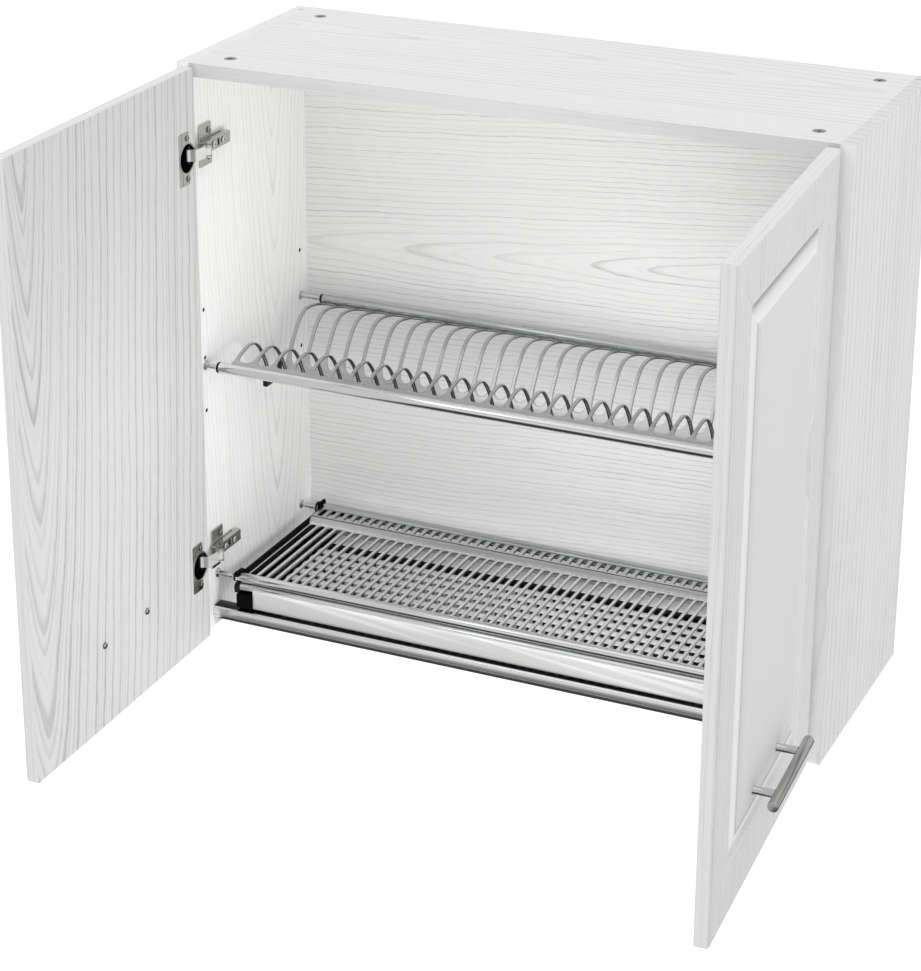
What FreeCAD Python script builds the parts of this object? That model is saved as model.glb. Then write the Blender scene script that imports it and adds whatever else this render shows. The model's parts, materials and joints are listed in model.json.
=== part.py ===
"""Wall dish drainer cabinet: an open-bottomed two-door wall cabinet with a plate rack, a cup rack and a sliding drip tray.

Working frame (millimetres), before the final shift: X from the left side panel's outer face to the right one's,
Y from the front edges of the side panels (0) back to the wall (depth), Z up from the bottom edges.
Every sub-part is then placed so that the origin is the middle of the two wall hanging holes, on the wall plane:
+X to the right as one faces the cabinet, +Y into the wall, +Z up.  The two doors stand open, as they are stored.
"""
import FreeCAD, Part
import Sketcher
import math
import os

V = FreeCAD.Vector
doc = FreeCAD.newDocument("dish_drainer_cabinet")
sheet = doc.addObject("Spreadsheet::Sheet", "Dims")


class Dim:
    """A length with its value and the text of the expression that gives it from the spreadsheet."""

    def __init__(self, v, t):
        self.v, self.t = float(v), t

    def __add__(self, o):
        o = dim(o)
        return Dim(self.v + o.v, "(%s + %s)" % (self.t, o.t))

    def __radd__(self, o):
        return dim(o) + self

    def __sub__(self, o):
        o = dim(o)
        return Dim(self.v - o.v, "(%s - %s)" % (self.t, o.t))

    def __rsub__(self, o):
        return dim(o) - self

    def __mul__(self, o):
        o = dim(o)
        return Dim(self.v * o.v, "(%s * %s)" % (self.t, o.t))

    def __rmul__(self, o):
        return dim(o) * self

    def __truediv__(self, o):
        o = dim(o)
        return Dim(self.v / o.v, "(%s / %s)" % (self.t, o.t))

    def __neg__(self):
        return Dim(-self.v, "(0 - %s)" % self.t)


def dim(x):
    return x if isinstance(x, Dim) else Dim(x, "%.6g" % x if x >= 0 else "(0 - %.6g)" % -x)


ROW = [1]


def cell(alias, value, note):
    """One driving dimension: name, plain number, alias and a note, on one row of the sheet."""
    r = ROW[0]
    sheet.set("A%d" % r, alias)
    sheet.set("B%d" % r, "%.6g" % value)
    sheet.setAlias("B%d" % r, alias)
    sheet.set("C%d" % r, note)
    ROW[0] += 1
    return Dim(value, "Dims." + alias)


# ---- driving dimensions --------------------------------------------------------------------------------------------
W = cell("width", 800, "outside width")
H = cell("height", 720, "outside height")
DP = cell("depth", 300, "outside depth of the carcass")
PT = cell("panel", 16, "board thickness")
BY = cell("back_front", 282, "front face of the back panel")
BT = cell("back_thick", 3, "back panel thickness")
GD = cell("groove_deep", 7, "depth of the back panel's groove")
HZ = cell("hang_height", 680, "height of the wall hanging holes")
HX = cell("hang_inset", 38, "hanging hole from the outside of the side")
HR = cell("hang_hole", 4.5, "hanging hole radius")
CXI = cell("cam_inset", 34, "cam centre from the side panel's inner face")
CYF = cell("cam_front", 37, "front cam from the front edge")
CYR = cell("cam_rear", 262, "rear cam from the front edge")
CR = cell("cam_pocket", 7.5, "cam pocket radius")
CD = cell("cam_deep", 12.5, "cam pocket depth")
SYR = cell("sys_radius", 2.5, "row hole radius")
SYD = cell("sys_deep", 11, "row hole depth")
DW = cell("door_w", 397, "door width")
DH = cell("door_tall", 716, "door height")
DG = cell("door_gap", 2, "gap between a closed door and the side panel's edge")
DE = cell("door_edge", 1.5, "closed door's hinge edge inside the outer face")
DZ = cell("door_low", 2, "bottom edge of the door")
FM = cell("field_margin", 60, "edge of the profiled field from the door edge")
FS = cell("field_slope", 25, "width of the sloping border of the field")
FD = cell("field_deep", 5.5, "depth of the step round the field")
HGL = cell("hinge_low", 104, "height of the lower hinges")
HGU = cell("hinge_up", 616, "height of the upper hinges")
CPU = cell("cup_inset", 20.5, "hinge cup centre from the door edge")
CPR = cell("cup_bore", 17.5, "hinge cup bore radius")
CPD = cell("cup_deep", 12.6, "hinge cup bore depth")
HPX = cell("plate_screw_y", 37, "hinge plate screws from the front edge")
HDU = cell("handle_x", 198.5, "handle centre from the door's hinge edge")
HDZ = cell("handle_z", 102, "handle height")
HDS = cell("handle_pitch", 96, "distance between the handle's posts")
HDL = cell("handle_long", 150, "handle bar length")
HDO = cell("handle_off", 28, "handle bar axis from the door's face")
HDR = cell("handle_r", 6, "handle bar radius")
PITCH = cell("ribbon_pitch", 25, "pitch of the plate rack's ribbons")
NRIB = cell("ribbon_n", 29, "ribbons of the plate rack")
RW = cell("ribbon_w", 6, "ribbon width")
RX0 = cell("ribbon_first", 50, "first ribbon's centre from the left")
SH = cell("sheet_thick", 1, "rack sheet thickness")
CPITCH = cell("rib_pitch", 12.5, "pitch of the cup rack's ribs")
NCR = cell("rib_n", 57, "ribs of the cup rack")
CRW = cell("rib_w", 3, "rib width of the cup rack")
UFY = cell("up_front_y", 17, "plate rack front tube, Y")
UFZ = cell("up_front_z", 346, "plate rack front tube, Z")
UFR = cell("up_front_r", 6.5, "plate rack front tube radius")
URY = cell("up_rear_y", 262, "plate rack rear tube, Y")
URZ = cell("up_rear_z", 356, "plate rack rear tube, Z")
URR = cell("up_rear_r", 5.5, "plate rack rear tube radius")
LFY = cell("low_front_y", 31, "cup rack front tube, Y")
LFZ = cell("low_front_z", 68, "cup rack front tube, Z")
LFR = cell("low_front_r", 6, "cup rack front tube radius")
LRY = cell("low_rear_y", 254, "cup rack rear tube, Y")
LRZ = cell("low_rear_z", 70, "cup rack rear tube, Z")
LRR = cell("low_rear_r", 7.5, "cup rack rear tube radius")
TW = cell("tube_wall", 0.8, "tube wall")
TRY = cell("tray_rail_y", 30, "tray front rail, Y")
TRZ = cell("tray_rail_z", 55.8, "tray front rail, Z")
TRR = cell("tray_rail_r", 5.5, "tray front rail radius")
TX0 = cell("tray_x0", 68, "tray pan's left side")
TZ0 = cell("tray_low", 37, "underside of the tray pan")
TYB = cell("tray_back", 240, "rear of the tray")
RLY = cell("rail_y", 16.5, "bottom front rail's face")
RLZ = cell("rail_z", 12, "bottom front rail's underside")
RLH = cell("rail_tall", 16, "bottom front rail's height")
RLD = cell("rail_deep", 21.5, "bottom front rail's depth")
OPL = cell("open_left", 89, "left door's opening angle as stored")
OPR = cell("open_right", 93.5, "right door's opening angle as stored")
PAX = cell("pivot_arm_x", 34, "hinge link's pivot on the arm, X from the outer face")
PAY = cell("pivot_arm_y", 8, "hinge link's pivot on the arm, Y")
PBX = cell("pivot_cup_x", 10.26668, "hinge link's pivot in the cup, X, door closed")
PBY = cell("pivot_cup_y", -6.02243, "hinge link's pivot in the cup, Y, door closed")
PKX = cell("knee_x", 17.62319, "knee of the hinge link, X, door closed")
PKY = cell("knee_y", -10.39294, "knee of the hinge link, Y, door closed")
TURN = cell("link_turn", 35.85508, "turn of the hinge link for 90 degrees of door")
doc.recompute()

OX, OY, OZ = -(W / 2), -DP, -HZ
NODES = {}


# ---- helpers -------------------------------------------------------------------------------------------------------
def bind(obj, prop, d):
    d = dim(d)
    if "Dims." in d.t:
        obj.setExpression(prop, d.t)
    return d.v


def register(obj, name, place=None):
    """Gives a sub-part its label and its place in the final frame."""
    obj.Label = name
    if place is None:
        obj.Placement = FreeCAD.Placement(V(OX.v, OY.v, OZ.v), FreeCAD.Rotation())
        for axis, d in zip("xyz", (OX, OY, OZ)):
            obj.setExpression("Placement.Base." + axis, d.t)
    else:
        obj.Placement = place
    NODES[name] = obj
    return obj


def body(name, place=None):
    b = doc.addObject("PartDesign::Body", name)
    doc.recompute()
    return register(b, name, place)


def plane(b, role):
    for o in b.Origin.OriginFeatures:
        if o.Role == role:
            return o


def sketch(b, name, role, off):
    """A sketch parallel to one of the body's origin planes, moved along that plane's normal."""
    s = b.newObject("Sketcher::SketchObject", b.Name + "_" + name)
    s.AttachmentSupport = [(plane(b, role), "")]
    s.MapMode = "FlatFace"
    off = dim(off)
    s.AttachmentOffset = FreeCAD.Placement(V(0, 0, off.v), FreeCAD.Rotation())
    bind(s, "AttachmentOffset.Base.z", off)
    return s


def put(s, geo, pos, x, y):
    """Fixes one point of a sketch at (x, y), bound to the sheet."""
    for kind, d, axis in (("DistanceX", dim(x), -2), ("DistanceY", dim(y), -1)):
        if abs(d.v) < 1e-9:
            s.addConstraint(Sketcher.Constraint("PointOnObject", geo, pos, axis))
        else:
            i = s.addConstraint(Sketcher.Constraint(kind, -1, 1, geo, pos, d.v))
            bind(s, "Constraints[%d]" % i, d)


def poly(s, pts):
    pts = [(dim(x), dim(y)) for x, y in pts]
    n = len(pts)
    base = s.GeometryCount
    s.addGeometry([Part.LineSegment(V(pts[i][0].v, pts[i][1].v, 0), V(pts[(i + 1) % n][0].v, pts[(i + 1) % n][1].v, 0)) for i in range(n)], False)
    s.addConstraint([Sketcher.Constraint("Coincident", base + i, 2, base + (i + 1) % n, 1) for i in range(n)])
    for i in range(n):
        put(s, base + i, 1, *pts[i])


def rect(s, x0, y0, x1, y1):
    poly(s, [(x0, y0), (x1, y0), (x1, y1), (x0, y1)])


def circle(s, x, y, r):
    x, y, r = dim(x), dim(y), dim(r)
    g = s.addGeometry(Part.Circle(V(x.v, y.v, 0), V(0, 0, 1), r.v), False)
    put(s, g, 3, x, y)
    i = s.addConstraint(Sketcher.Constraint("Radius", g, r.v))
    bind(s, "Constraints[%d]" % i, r)


def pad(b, s, length, back=False):
    p = b.newObject("PartDesign::Pad", b.Name + "_pad%d" % len(b.Group))
    p.Profile = s
    p.Length = dim(length).v
    bind(p, "Length", length)
    p.Reversed = back
    doc.recompute()
    b.Tip = p
    return p


def pocket(b, s, depth=None, back=False):
    """A pocket of this depth, or right through both ways; it must take something away."""
    before = b.Shape.Volume
    p = b.newObject("PartDesign::Pocket", b.Name + "_cut%d" % len(b.Group))
    p.Profile = s
    if depth is None:
        p.Type = "ThroughAll"
    else:
        p.Type = "Length"
        p.Length = dim(depth).v
        bind(p, "Length", depth)
    p.Reversed = back
    b.Tip = p
    doc.recompute()
    if not b.Shape.Volume < before - 1e-3:
        raise RuntimeError("%s cuts nothing" % p.Name)
    return p


def pattern(b, feature, n, pitch, role="X_Axis"):
    before = b.Shape.Volume
    lp = b.newObject("PartDesign::LinearPattern", b.Name + "_row%d" % len(b.Group))
    lp.Originals = [feature]
    lp.Direction = (plane(b, role), [""])
    n, pitch = dim(n), dim(pitch)
    lp.Occurrences = int(round(n.v))
    bind(lp, "Occurrences", n)
    lp.Length = pitch.v * (n.v - 1)
    bind(lp, "Length", pitch * (n - 1))
    b.Tip = lp
    doc.recompute()
    if not b.Shape.Volume < before - 1e-3:
        raise RuntimeError("%s repeats nothing" % lp.Name)
    return lp


COUNT = [0]


def place(o, x, y, z, rot=None):
    o.Placement = FreeCAD.Placement(V(dim(x).v, dim(y).v, dim(z).v), rot or FreeCAD.Rotation())
    for axis, d in zip("xyz", (x, y, z)):
        bind(o, "Placement.Base." + axis, d)
    return o


def box(x0, x1, y0, y1, z0, z1):
    COUNT[0] += 1
    o = doc.addObject("Part::Box", "block%d" % COUNT[0])
    for prop, d in (("Length", dim(x1) - x0), ("Width", dim(y1) - y0), ("Height", dim(z1) - z0)):
        setattr(o, prop, d.v)
        bind(o, prop, d)
    return place(o, x0, y0, z0)


ROT = {"x": FreeCAD.Rotation(V(0, 1, 0), 90), "y": FreeCAD.Rotation(V(1, 0, 0), -90), "z": FreeCAD.Rotation()}


def cyl(axis, a0, a1, p, q, r):
    """A cylinder along an axis from a0 to a1, centred at (p, q) on the two other axes in X, Y, Z order."""
    COUNT[0] += 1
    o = doc.addObject("Part::Cylinder", "round%d" % COUNT[0])
    length = dim(a1) - a0
    o.Radius, o.Height = dim(r).v, length.v
    bind(o, "Radius", r)
    bind(o, "Height", length)
    at = {"x": (a0, p, q), "y": (p, a0, q), "z": (p, q, a0)}[axis]
    return place(o, *at, rot=ROT[axis])


def fuse(*parts):
    if len(parts) == 1:
        return parts[0]
    COUNT[0] += 1
    o = doc.addObject("Part::MultiFuse", "joined%d" % COUNT[0])
    o.Shapes = list(parts)
    return o


def cut(base, *tools):
    COUNT[0] += 1
    o = doc.addObject("Part::Cut", "cut%d" % COUNT[0])
    o.Base, o.Tool = base, fuse(*tools)
    return o


def group(name, parts, where=None):
    """Separate solids of one kind in one node."""
    o = doc.addObject("Part::Compound", name)
    o.Links = list(parts)
    return register(o, name, where)


def named(o, name, where=None):
    return register(o, name, where)


def mx(side, x):
    """X of a point given for the left side, on the side asked for."""
    return dim(x) if side == "left" else W - x


def sbox(side, x0, x1, y0, y1, z0, z1):
    return box(x0, x1, y0, y1, z0, z1) if side == "left" else box(W - x1, W - x0, y0, y1, z0, z1)


def scyl(side, axis, a0, a1, p, q, r):
    if side == "left":
        return cyl(axis, a0, a1, p, q, r)
    if axis == "x":
        return cyl(axis, W - a1, W - a0, p, q, r)
    return cyl(axis, a0, a1, W - p, q, r)


SIDES = ("left", "right")

# ---- carcass -------------------------------------------------------------------------------------------------------
CAMZ = H - PT / 2
DOWELS = ((69, None), (230, None))
UPPER_PINS = ((UFY, UFZ), (URY, URZ))
LOWER_PINS = ((LFY, LFZ), (LRY, LRZ))

for side in SIDES:
    left = side == "left"
    b = body("side_panel_" + side)
    s = sketch(b, "outline", "YZ_Plane", 0 if left else W - PT)
    rect(s, 0, 0, DP, H)
    pad(b, s, PT)
    inner = PT if left else W - PT
    # the groove that holds the back panel
    s = sketch(b, "back_groove", "YZ_Plane", inner)
    rect(s, BY - 0.05, -1 + dim(0), BY + BT + 0.1, H + 1)
    pocket(b, s, GD, back=not left)
    # 5 mm row holes: two spare heights, the rack pins, the hinge plates' screws, the connecting bolts and the rail's screw
    s = sketch(b, "row_holes", "YZ_Plane", inner)
    for y, z in ((UFY, 416), (UFY, 355.5), (UFY, 288), (URY, 416), (URY, 288)) + UPPER_PINS + LOWER_PINS:
        circle(s, y, z, SYR)
    for zc in (HGL, HGU):
        for dz in (-16, 16):
            circle(s, HPX, zc + dz, SYR)
    for y in (CYF, CYR):
        circle(s, y, CAMZ, 2.55)
    pocket(b, s, SYD, back=not left)
    s = sketch(b, "dowel_holes", "YZ_Plane", inner)
    for y in (69, 230):
        circle(s, y, CAMZ, 4)
    for z in (45, 75):
        circle(s, BY + BT + 0.5 + 7, z, 4)
    pocket(b, s, 10.5, back=not left)
    s = sketch(b, "pilot_holes", "YZ_Plane", inner)
    circle(s, RLY + 10.5, RLZ + 8, 1.5)
    for z in (HZ - 25, HZ + 10):
        circle(s, BY + BT + 7, z, 1.5)
    pocket(b, s, 12, back=not left)

b = body("top_panel")
s = sketch(b, "outline", "XY_Plane", H - PT)
rect(s, PT, 0, W - PT, DP)
pad(b, s, PT)
s = sketch(b, "back_groove", "XY_Plane", H - PT)
rect(s, PT - 1, BY - 0.05, W - PT + 1, BY + BT + 0.1)
pocket(b, s, GD, back=True)
s = sketch(b, "cam_pockets", "XY_Plane", H)
for x in (PT + CXI, W - PT - CXI):
    for y in (CYF, CYR):
        circle(s, x, y, CR)
pocket(b, s, CD)
for side in SIDES:
    left = side == "left"
    s = sketch(b, "bolt_holes_" + side, "YZ_Plane", PT if left else W - PT)
    for y in (CYF, CYR):
        circle(s, y, CAMZ, 4)
    pocket(b, s, CXI, back=left)
    s = sketch(b, "dowel_holes_" + side, "YZ_Plane", PT if left else W - PT)
    for y in (69, 230):
        circle(s, y, CAMZ, 4)
    pocket(b, s, 20.5, back=left)
s = sketch(b, "pilot_holes", "XY_Plane", H - PT)
for x in (PT + 28, W - PT - 28):
    circle(s, x, BY + BT + 7, 1.5)
pocket(b, s, 12, back=True)

b = body("back_panel")
s = sketch(b, "outline", "XZ_Plane", -(BY + 0.0))
rect(s, PT - GD + 0.4, 4, W - PT + GD - 0.4, H - PT + GD - 0.4)
pad(b, s, BT, back=True)

b = body("rear_batten")
s = sketch(b, "outline", "XZ_Plane", -(BY + BT + 0.5))
rect(s, PT, 30, W - PT, 90)
pad(b, s, 14, back=True)
for side in SIDES:
    left = side == "left"
    s = sketch(b, "dowel_holes_" + side, "YZ_Plane", PT if left else W - PT)
    for z in (45, 75):
        circle(s, BY + BT + 7.5, z, 4)
    pocket(b, s, 20.5, back=left)

# steel corner brackets behind the back panel, each with the wall hanging hole
for side in SIDES:
    yb = BY + BT + 1
    o = fuse(
        sbox(side, PT, PT + 2, yb, DP, HZ - 42, H - PT),
        sbox(side, PT, PT + 46, DP - 2, DP, HZ - 42, H - PT),
        sbox(side, PT, PT + 46, yb, DP, H - PT - 2, H - PT),
    )
    o = cut(
        o,
        scyl(side, "y", DP - 4, DP + 2, HX, HZ, HR),
        scyl(side, "x", PT - 1, PT + 4, BY + BT + 7, HZ - 25, 1.75),
        scyl(side, "x", PT - 1, PT + 4, BY + BT + 7, HZ + 10, 1.75),
        scyl(side, "z", H - PT - 4, H - PT + 1, PT + 28, BY + BT + 7, 1.75),
    )
    named(o, "hanging_bracket_" + side)
screws = []
for side in SIDES:
    for z in (HZ - 25, HZ + 10):
        screws.append(fuse(scyl(side, "x", PT - 11.5, PT + 2, BY + BT + 7, z, 1.5), scyl(side, "x", PT + 2, PT + 4, BY + BT + 7, z, 3.4)))
    screws.append(fuse(scyl(side, "z", H - PT - 2, H - PT + 11.5, PT + 28, BY + BT + 7, 1.5), scyl(side, "z", H - PT - 4, H - PT - 2, PT + 28, BY + BT + 7, 3.4)))
group("hanging_bracket_screws", screws)

# connecting bolts: threaded into the sides, their heads held by the four cams in the top panel
bolts = []
for side in SIDES:
    for y in (CYF, CYR):
        bolts.append(
            fuse(
                scyl(side, "x", PT - 10.5, PT, y, CAMZ, 2.5),
                scyl(side, "x", PT, PT + 24, y, CAMZ, 3.5),
                scyl(side, "x", PT + 24, PT + CXI - 2, y, CAMZ, 2),
                scyl(side, "x", PT + CXI - 2.5, PT + CXI + 1.5, y, CAMZ, 3.4),
            )
        )
group("connecting_bolts", bolts)
group(
    "carcass_dowels",
    [scyl(side, "x", PT - 10, PT + 20, y, CAMZ, 4) for side in SIDES for y in (69, 230)]
    + [scyl(side, "x", PT - 10, PT + 20, BY + BT + 7.5, z, 4) for side in SIDES for z in (45, 75)],
)

# the cams: a disc with a hollow for the bolt's head, a half-turn slot for its neck, an entry hole and a cross recess
n = 0
for y in (CYF, CYR):
    for side in SIDES:
        n += 1
        x = mx(side, PT + CXI)
        sx = 1 if side == "left" else -1
        disc = cyl("z", H - CD + 0.2, H - 0.1, x, y, CR - 0.1)
        hollow = cyl("z", CAMZ - 4, CAMZ + 4, x, y, 4.4)
        if side == "left":
            slot = box(x - 8, x + 8, y - 2.6, y + 8, CAMZ - 2.6, CAMZ + 2.6)
            entry = cyl("x", x, x + 9, y, CAMZ, 3.9)
        else:
            slot = box(x - 8, x + 8, y - 8, y + 2.6, CAMZ - 2.6, CAMZ + 2.6)
            entry = cyl("x", x - 9, x, y, CAMZ, 3.9)
        cross1 = box(x - 4.5, x + 4.5, y - 0.8, y + 0.8, H - 1.9, H + 1)
        cross2 = box(x - 0.8, x + 0.8, y - 4.5, y + 4.5, H - 1.9, H + 1)
        named(cut(disc, hollow, slot, entry, cross1, cross2), "cam_lock_%d" % n)

# ---- bottom front rail: an open aluminium channel on two plastic end blocks --------------------------------------------
b = body("front_rail")
s = sketch(b, "section", "YZ_Plane", PT)
y0, z0, y1, z1, tk = RLY, RLZ, RLY + RLD, RLZ + RLH, 1.6
poly(
    s,
    [
        (y0, z0), (y0 + 8, z0), (y0 + 8, z0 + tk), (y0 + tk, z0 + tk), (y0 + tk, z1 - tk), (y1 - tk, z1 - tk),
        (y1 - tk, z1 - 6), (y1, z1 - 6), (y1, z1), (y0, z1), (y0, z1 - 4.2), (y0 + 0.6, z1 - 4.6), (y0 + 0.6, z1 - 5.4), (y0, z1 - 5.8),
        (y0, z0 + 5.8), (y0 + 0.6, z0 + 5.4), (y0 + 0.6, z0 + 4.6), (y0, z0 + 4.2),
    ],
)
pad(b, s, W - PT * 2)
blocks, screws = [], []
for side in SIDES:
    blocks.append(cut(sbox(side, PT, PT + 14, y0 + tk + 0.1, y1 - tk - 0.1, z0 + tk + 0.1, z1 - tk - 0.1), scyl(side, "x", PT - 1, PT + 20, RLY + 10.5, RLZ + 8, 1.6)))
    screws.append(fuse(scyl(side, "x", PT - 11.5, PT + 14, RLY + 10.5, RLZ + 8, 1.5), scyl(side, "x", PT + 14, PT + 16, RLY + 10.5, RLZ + 8, 3.2)))
group("front_rail_blocks", blocks)
group("front_rail_screws", screws)


# ---- racks ---------------------------------------------------------------------------------------------------------
def strip(points, thick):
    """Closed outline of a bent sheet of this thickness: the given line is its underside, the upper side is offset."""
    pts = [(dim(y), dim(z)) for y, z in points]
    up = []
    for i, (y, z) in enumerate(pts):
        a = pts[max(i - 1, 0)]
        c = pts[min(i + 1, len(pts) - 1)]
        v1 = (pts[i][0].v - a[0].v, pts[i][1].v - a[1].v) if i else (c[0].v - y.v, c[1].v - z.v)
        v2 = (c[0].v - y.v, c[1].v - z.v) if i < len(pts) - 1 else v1
        l1, l2 = math.hypot(*v1), math.hypot(*v2)
        n1, n2 = (-v1[1] / l1, v1[0] / l1), (-v2[1] / l2, v2[0] / l2)
        m = (n1[0] + n2[0], n1[1] + n2[1])
        k = 1.0 / max(0.5 * (m[0] * m[0] + m[1] * m[1]), 0.3)
        up.append((y + dim(round(m[0] * k, 5)) * thick, z + dim(round(m[1] * k, 5)) * thick))
    return pts + up[::-1]


def tube(name, y, z, r, x0, where=None):
    b = body(name)
    s = sketch(b, "ring", "YZ_Plane", x0)
    circle(s, y, z, r)
    circle(s, y, z, r - TW)
    pad(b, s, W - dim(x0) * 2)
    return b


# plate rack: one sheet stamped into ribbons that arch up, drop to a trough and arch up again
zr = UFZ
prof = [
    (UFY + 4.6, zr + 4.2), (UFY + 9, zr + 5.5), (UFY + 15, zr + 6.3), (UFY + 24, zr + 10.2), (UFY + 38, zr + 14.2), (UFY + 52, zr + 15.1),
    (UFY + 66, zr + 10), (UFY + 80, zr - 6), (UFY + 91, zr - 27), (UFY + 99, zr - 43), (UFY + 105, zr - 50), (UFY + 112, zr - 52.5),
    (UFY + 126, zr - 52.5), (UFY + 134, zr - 49), (UFY + 143, zr - 38), (UFY + 151, zr - 27), (UFY + 164, zr - 8), (UFY + 178, zr + 7),
    (UFY + 192, zr + 13.2), (UFY + 206, zr + 13.6), (UFY + 220, zr + 12.2), (URY - 8, URZ + 1.6), (URY - 4.4, URZ + 1.6),
]
b = body("plate_rack_sheet")
s = sketch(b, "section", "YZ_Plane", RX0 - RW / 2)
poly(s, strip(prof, SH))
pad(b, s, PITCH * (NRIB - 1) + RW)
s = sketch(b, "front_tube_seat", "YZ_Plane", W)
circle(s, UFY, UFZ, UFR)
circle(s, URY, URZ, URR)
pocket(b, s)
for nm, ya, yb in (("front_slot", 30, 122), ("rear_slot", 152, 245)):
    s = sketch(b, nm, "XY_Plane", H)
    rect(s, RX0 + RW / 2, ya, RX0 + PITCH - RW / 2, yb)
    p = pocket(b, s)
    pattern(b, p, NRIB - 1, PITCH)
tube("plate_rack_front_tube", UFY, UFZ, UFR, 36.5)
tube("plate_rack_rear_tube", URY, URZ, URR, 48)
# short plastic clips that close the two ends of the trough
clips = []
for side in SIDES:
    clips.append(sbox(side, RX0 - RW / 2 - 6, RX0 - RW / 2, UFY + 95, UFY + 135, UFZ - 57, UFZ - 36))
group("plate_rack_clips", clips)

# cup rack: narrow ribs between a front strip and a raised rear flange
prof = [(LFY + 5.4, 65), (214, 65), (218, 75), (240, 75), (LRY - 4.5, 75.4)]
b = body("cup_rack_sheet")
s = sketch(b, "section", "YZ_Plane", RX0 - CRW / 2)
poly(s, strip(prof, SH))
pad(b, s, CPITCH * (NCR - 1) + CRW)
s = sketch(b, "tube_seats", "YZ_Plane", W)
circle(s, LFY, LFZ, LFR)
circle(s, LRY, LRZ, LRR)
pocket(b, s)
s = sketch(b, "slot", "XY_Plane", H)
rect(s, RX0 + CRW / 2, 52, RX0 + CPITCH - CRW / 2, 212)
p = pocket(b, s)
pattern(b, p, NCR - 1, CPITCH)
s = sketch(b, "rear_slot", "XY_Plane", H)
rect(s, RX0 + CRW / 2 + 2, 222, RX0 + CPITCH - CRW / 2 - 2, 232)
p = pocket(b, s)
pattern(b, p, NCR - 1, CPITCH)
tube("cup_rack_front_tube", LFY, LFZ, LFR, 44)
tube("cup_rack_rear_tube", LRY, LRZ, LRR, 42)

# plastic brackets hung on the two tubes: they carry the rack's ends and, on a ledge, the drip tray
for side in SIDES:
    left = side == "left"
    b = body("cup_rack_bracket_" + side)
    s = sketch(b, "web", "YZ_Plane", 44 if left else W - 48)
    poly(
        s,
        [
            (38.5, 56), (246, 56), (250, 60), (262, 62.5), (262, 79.5), (246, 79.5), (244, 70), (50, 70), (40, 76), (24.5, 76),
            (24.5, 70), (36, 66),
        ],
    )
    pad(b, s, 4)
    s = sketch(b, "shelf", "YZ_Plane", 44 if left else W - 58)
    rect(s, 38.5, 56, 244, 64.9)
    pad(b, s, 14)
    s = sketch(b, "ledge_web", "YZ_Plane", 44 if left else W - 46)
    rect(s, 38.5, 28.6, 244, 56)
    pad(b, s, 2)
    s = sketch(b, "ledge", "YZ_Plane", 44 if left else W - 52)
    rect(s, 38.5, 28.6, 244, 30.2)
    pad(b, s, 8)
    s = sketch(b, "tube_seats", "YZ_Plane", W)
    circle(s, LFY, LFZ, LFR + 0.02)
    circle(s, LRY, LRZ, LRR + 0.02)
    pocket(b, s)

# the pins that hold both racks in the side panels' holes, and the rings on the tubes' ends
pins, rings = [], []
for side in SIDES:
    for (y, z), r, xs in (((UFY, UFZ), UFR, 33.5), ((URY, URZ), URR, 45), ((LFY, LFZ), LFR, 41), ((LRY, LRZ), LRR, 39)):
        pins.append(
            fuse(
                scyl(side, "x", PT - 10.5, PT, y, z, 2.4),
                scyl(side, "x", PT, PT + 2, y, z, 6),
                scyl(side, "x", PT + 2, xs + 14, y, z, 3),
            )
        )
        inner_r = r - TW
        rings.append(
            cut(
                fuse(scyl(side, "x", xs, xs + 3, y, z, r + 0.25), scyl(side, "x", xs + 3, xs + 9, y, z, inner_r - 0.02)),
                scyl(side, "x", xs - 1, xs + 10, y, z, 3.02),
            )
        )
group("rack_pins", pins)
group("rack_tube_rings", rings)

# ---- drip tray, a drawer that slides forward on the brackets' ledges -------------------------------------------------
b = body("tray_pan")
s = sketch(b, "outside", "XY_Plane", TZ0)
rect(s, TX0, 24.5, W - TX0, TYB)
pad(b, s, 19.5)
s = sketch(b, "inside", "XY_Plane", TZ0 + 1)
rect(s, TX0 + 1, 25.5, W - TX0 - 1, TYB - 1)
pocket(b, s, 30, back=True)
s = sketch(b, "rail_seat", "YZ_Plane", W)
circle(s, TRY, TRZ, TRR + 0.02)
pocket(b, s)
s = sketch(b, "front_lip", "XZ_Plane", -23)
rect(s, TX0 - 1, 51.5, W - TX0 + 1, 70)
pocket(b, s, 8, back=False)
b = body("tray_front_rail")
s = sketch(b, "ring", "YZ_Plane", 50)
circle(s, TRY, TRZ, TRR)
circle(s, TRY, TRZ, TRR - TW)
pad(b, s, W - 100)
for side in SIDES:
    left = side == "left"
    b = body("tray_side_rail_" + side)
    s = sketch(b, "side", "YZ_Plane", 46.5 if left else W - 68)
    poly(s, [(22, 30.5), (TYB, 30.5), (TYB, 55.4), (39, 55.4), (38.2, 48.6), (22, 48.6)])
    pad(b, s, 21.5)
    s = sketch(b, "hollow", "XY_Plane", 30.5)
    rect(s, 49.5 if left else W - 65, 42, 65 if left else W - 49.5, TYB - 4)
    pocket(b, s, 21, back=True)
caps = []
for side in SIDES:
    caps.append(
        cut(
            fuse(sbox(side, 42, 50, 23.5, 36.5, 49, 61.2), scyl(side, "x", 50, 58, TRY, TRZ, TRR - TW - 0.02)),
            sbox(side, 41, 44, 22, 25, 48, 62),
        )
    )
group("tray_end_caps", caps)


# ---- doors ---------------------------------------------------------------------------------------------------------
def turn_about(px, py, deg):
    """Turns the working frame about a vertical line through (px, py)."""
    return FreeCAD.Placement(V(px, py, 0), FreeCAD.Rotation()) * FreeCAD.Placement(V(), FreeCAD.Rotation(V(0, 0, 1), deg)) * FreeCAD.Placement(V(-px, -py, 0), FreeCAD.Rotation())


OFF = FreeCAD.Placement(V(OX.v, OY.v, OZ.v), FreeCAD.Rotation())


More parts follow.
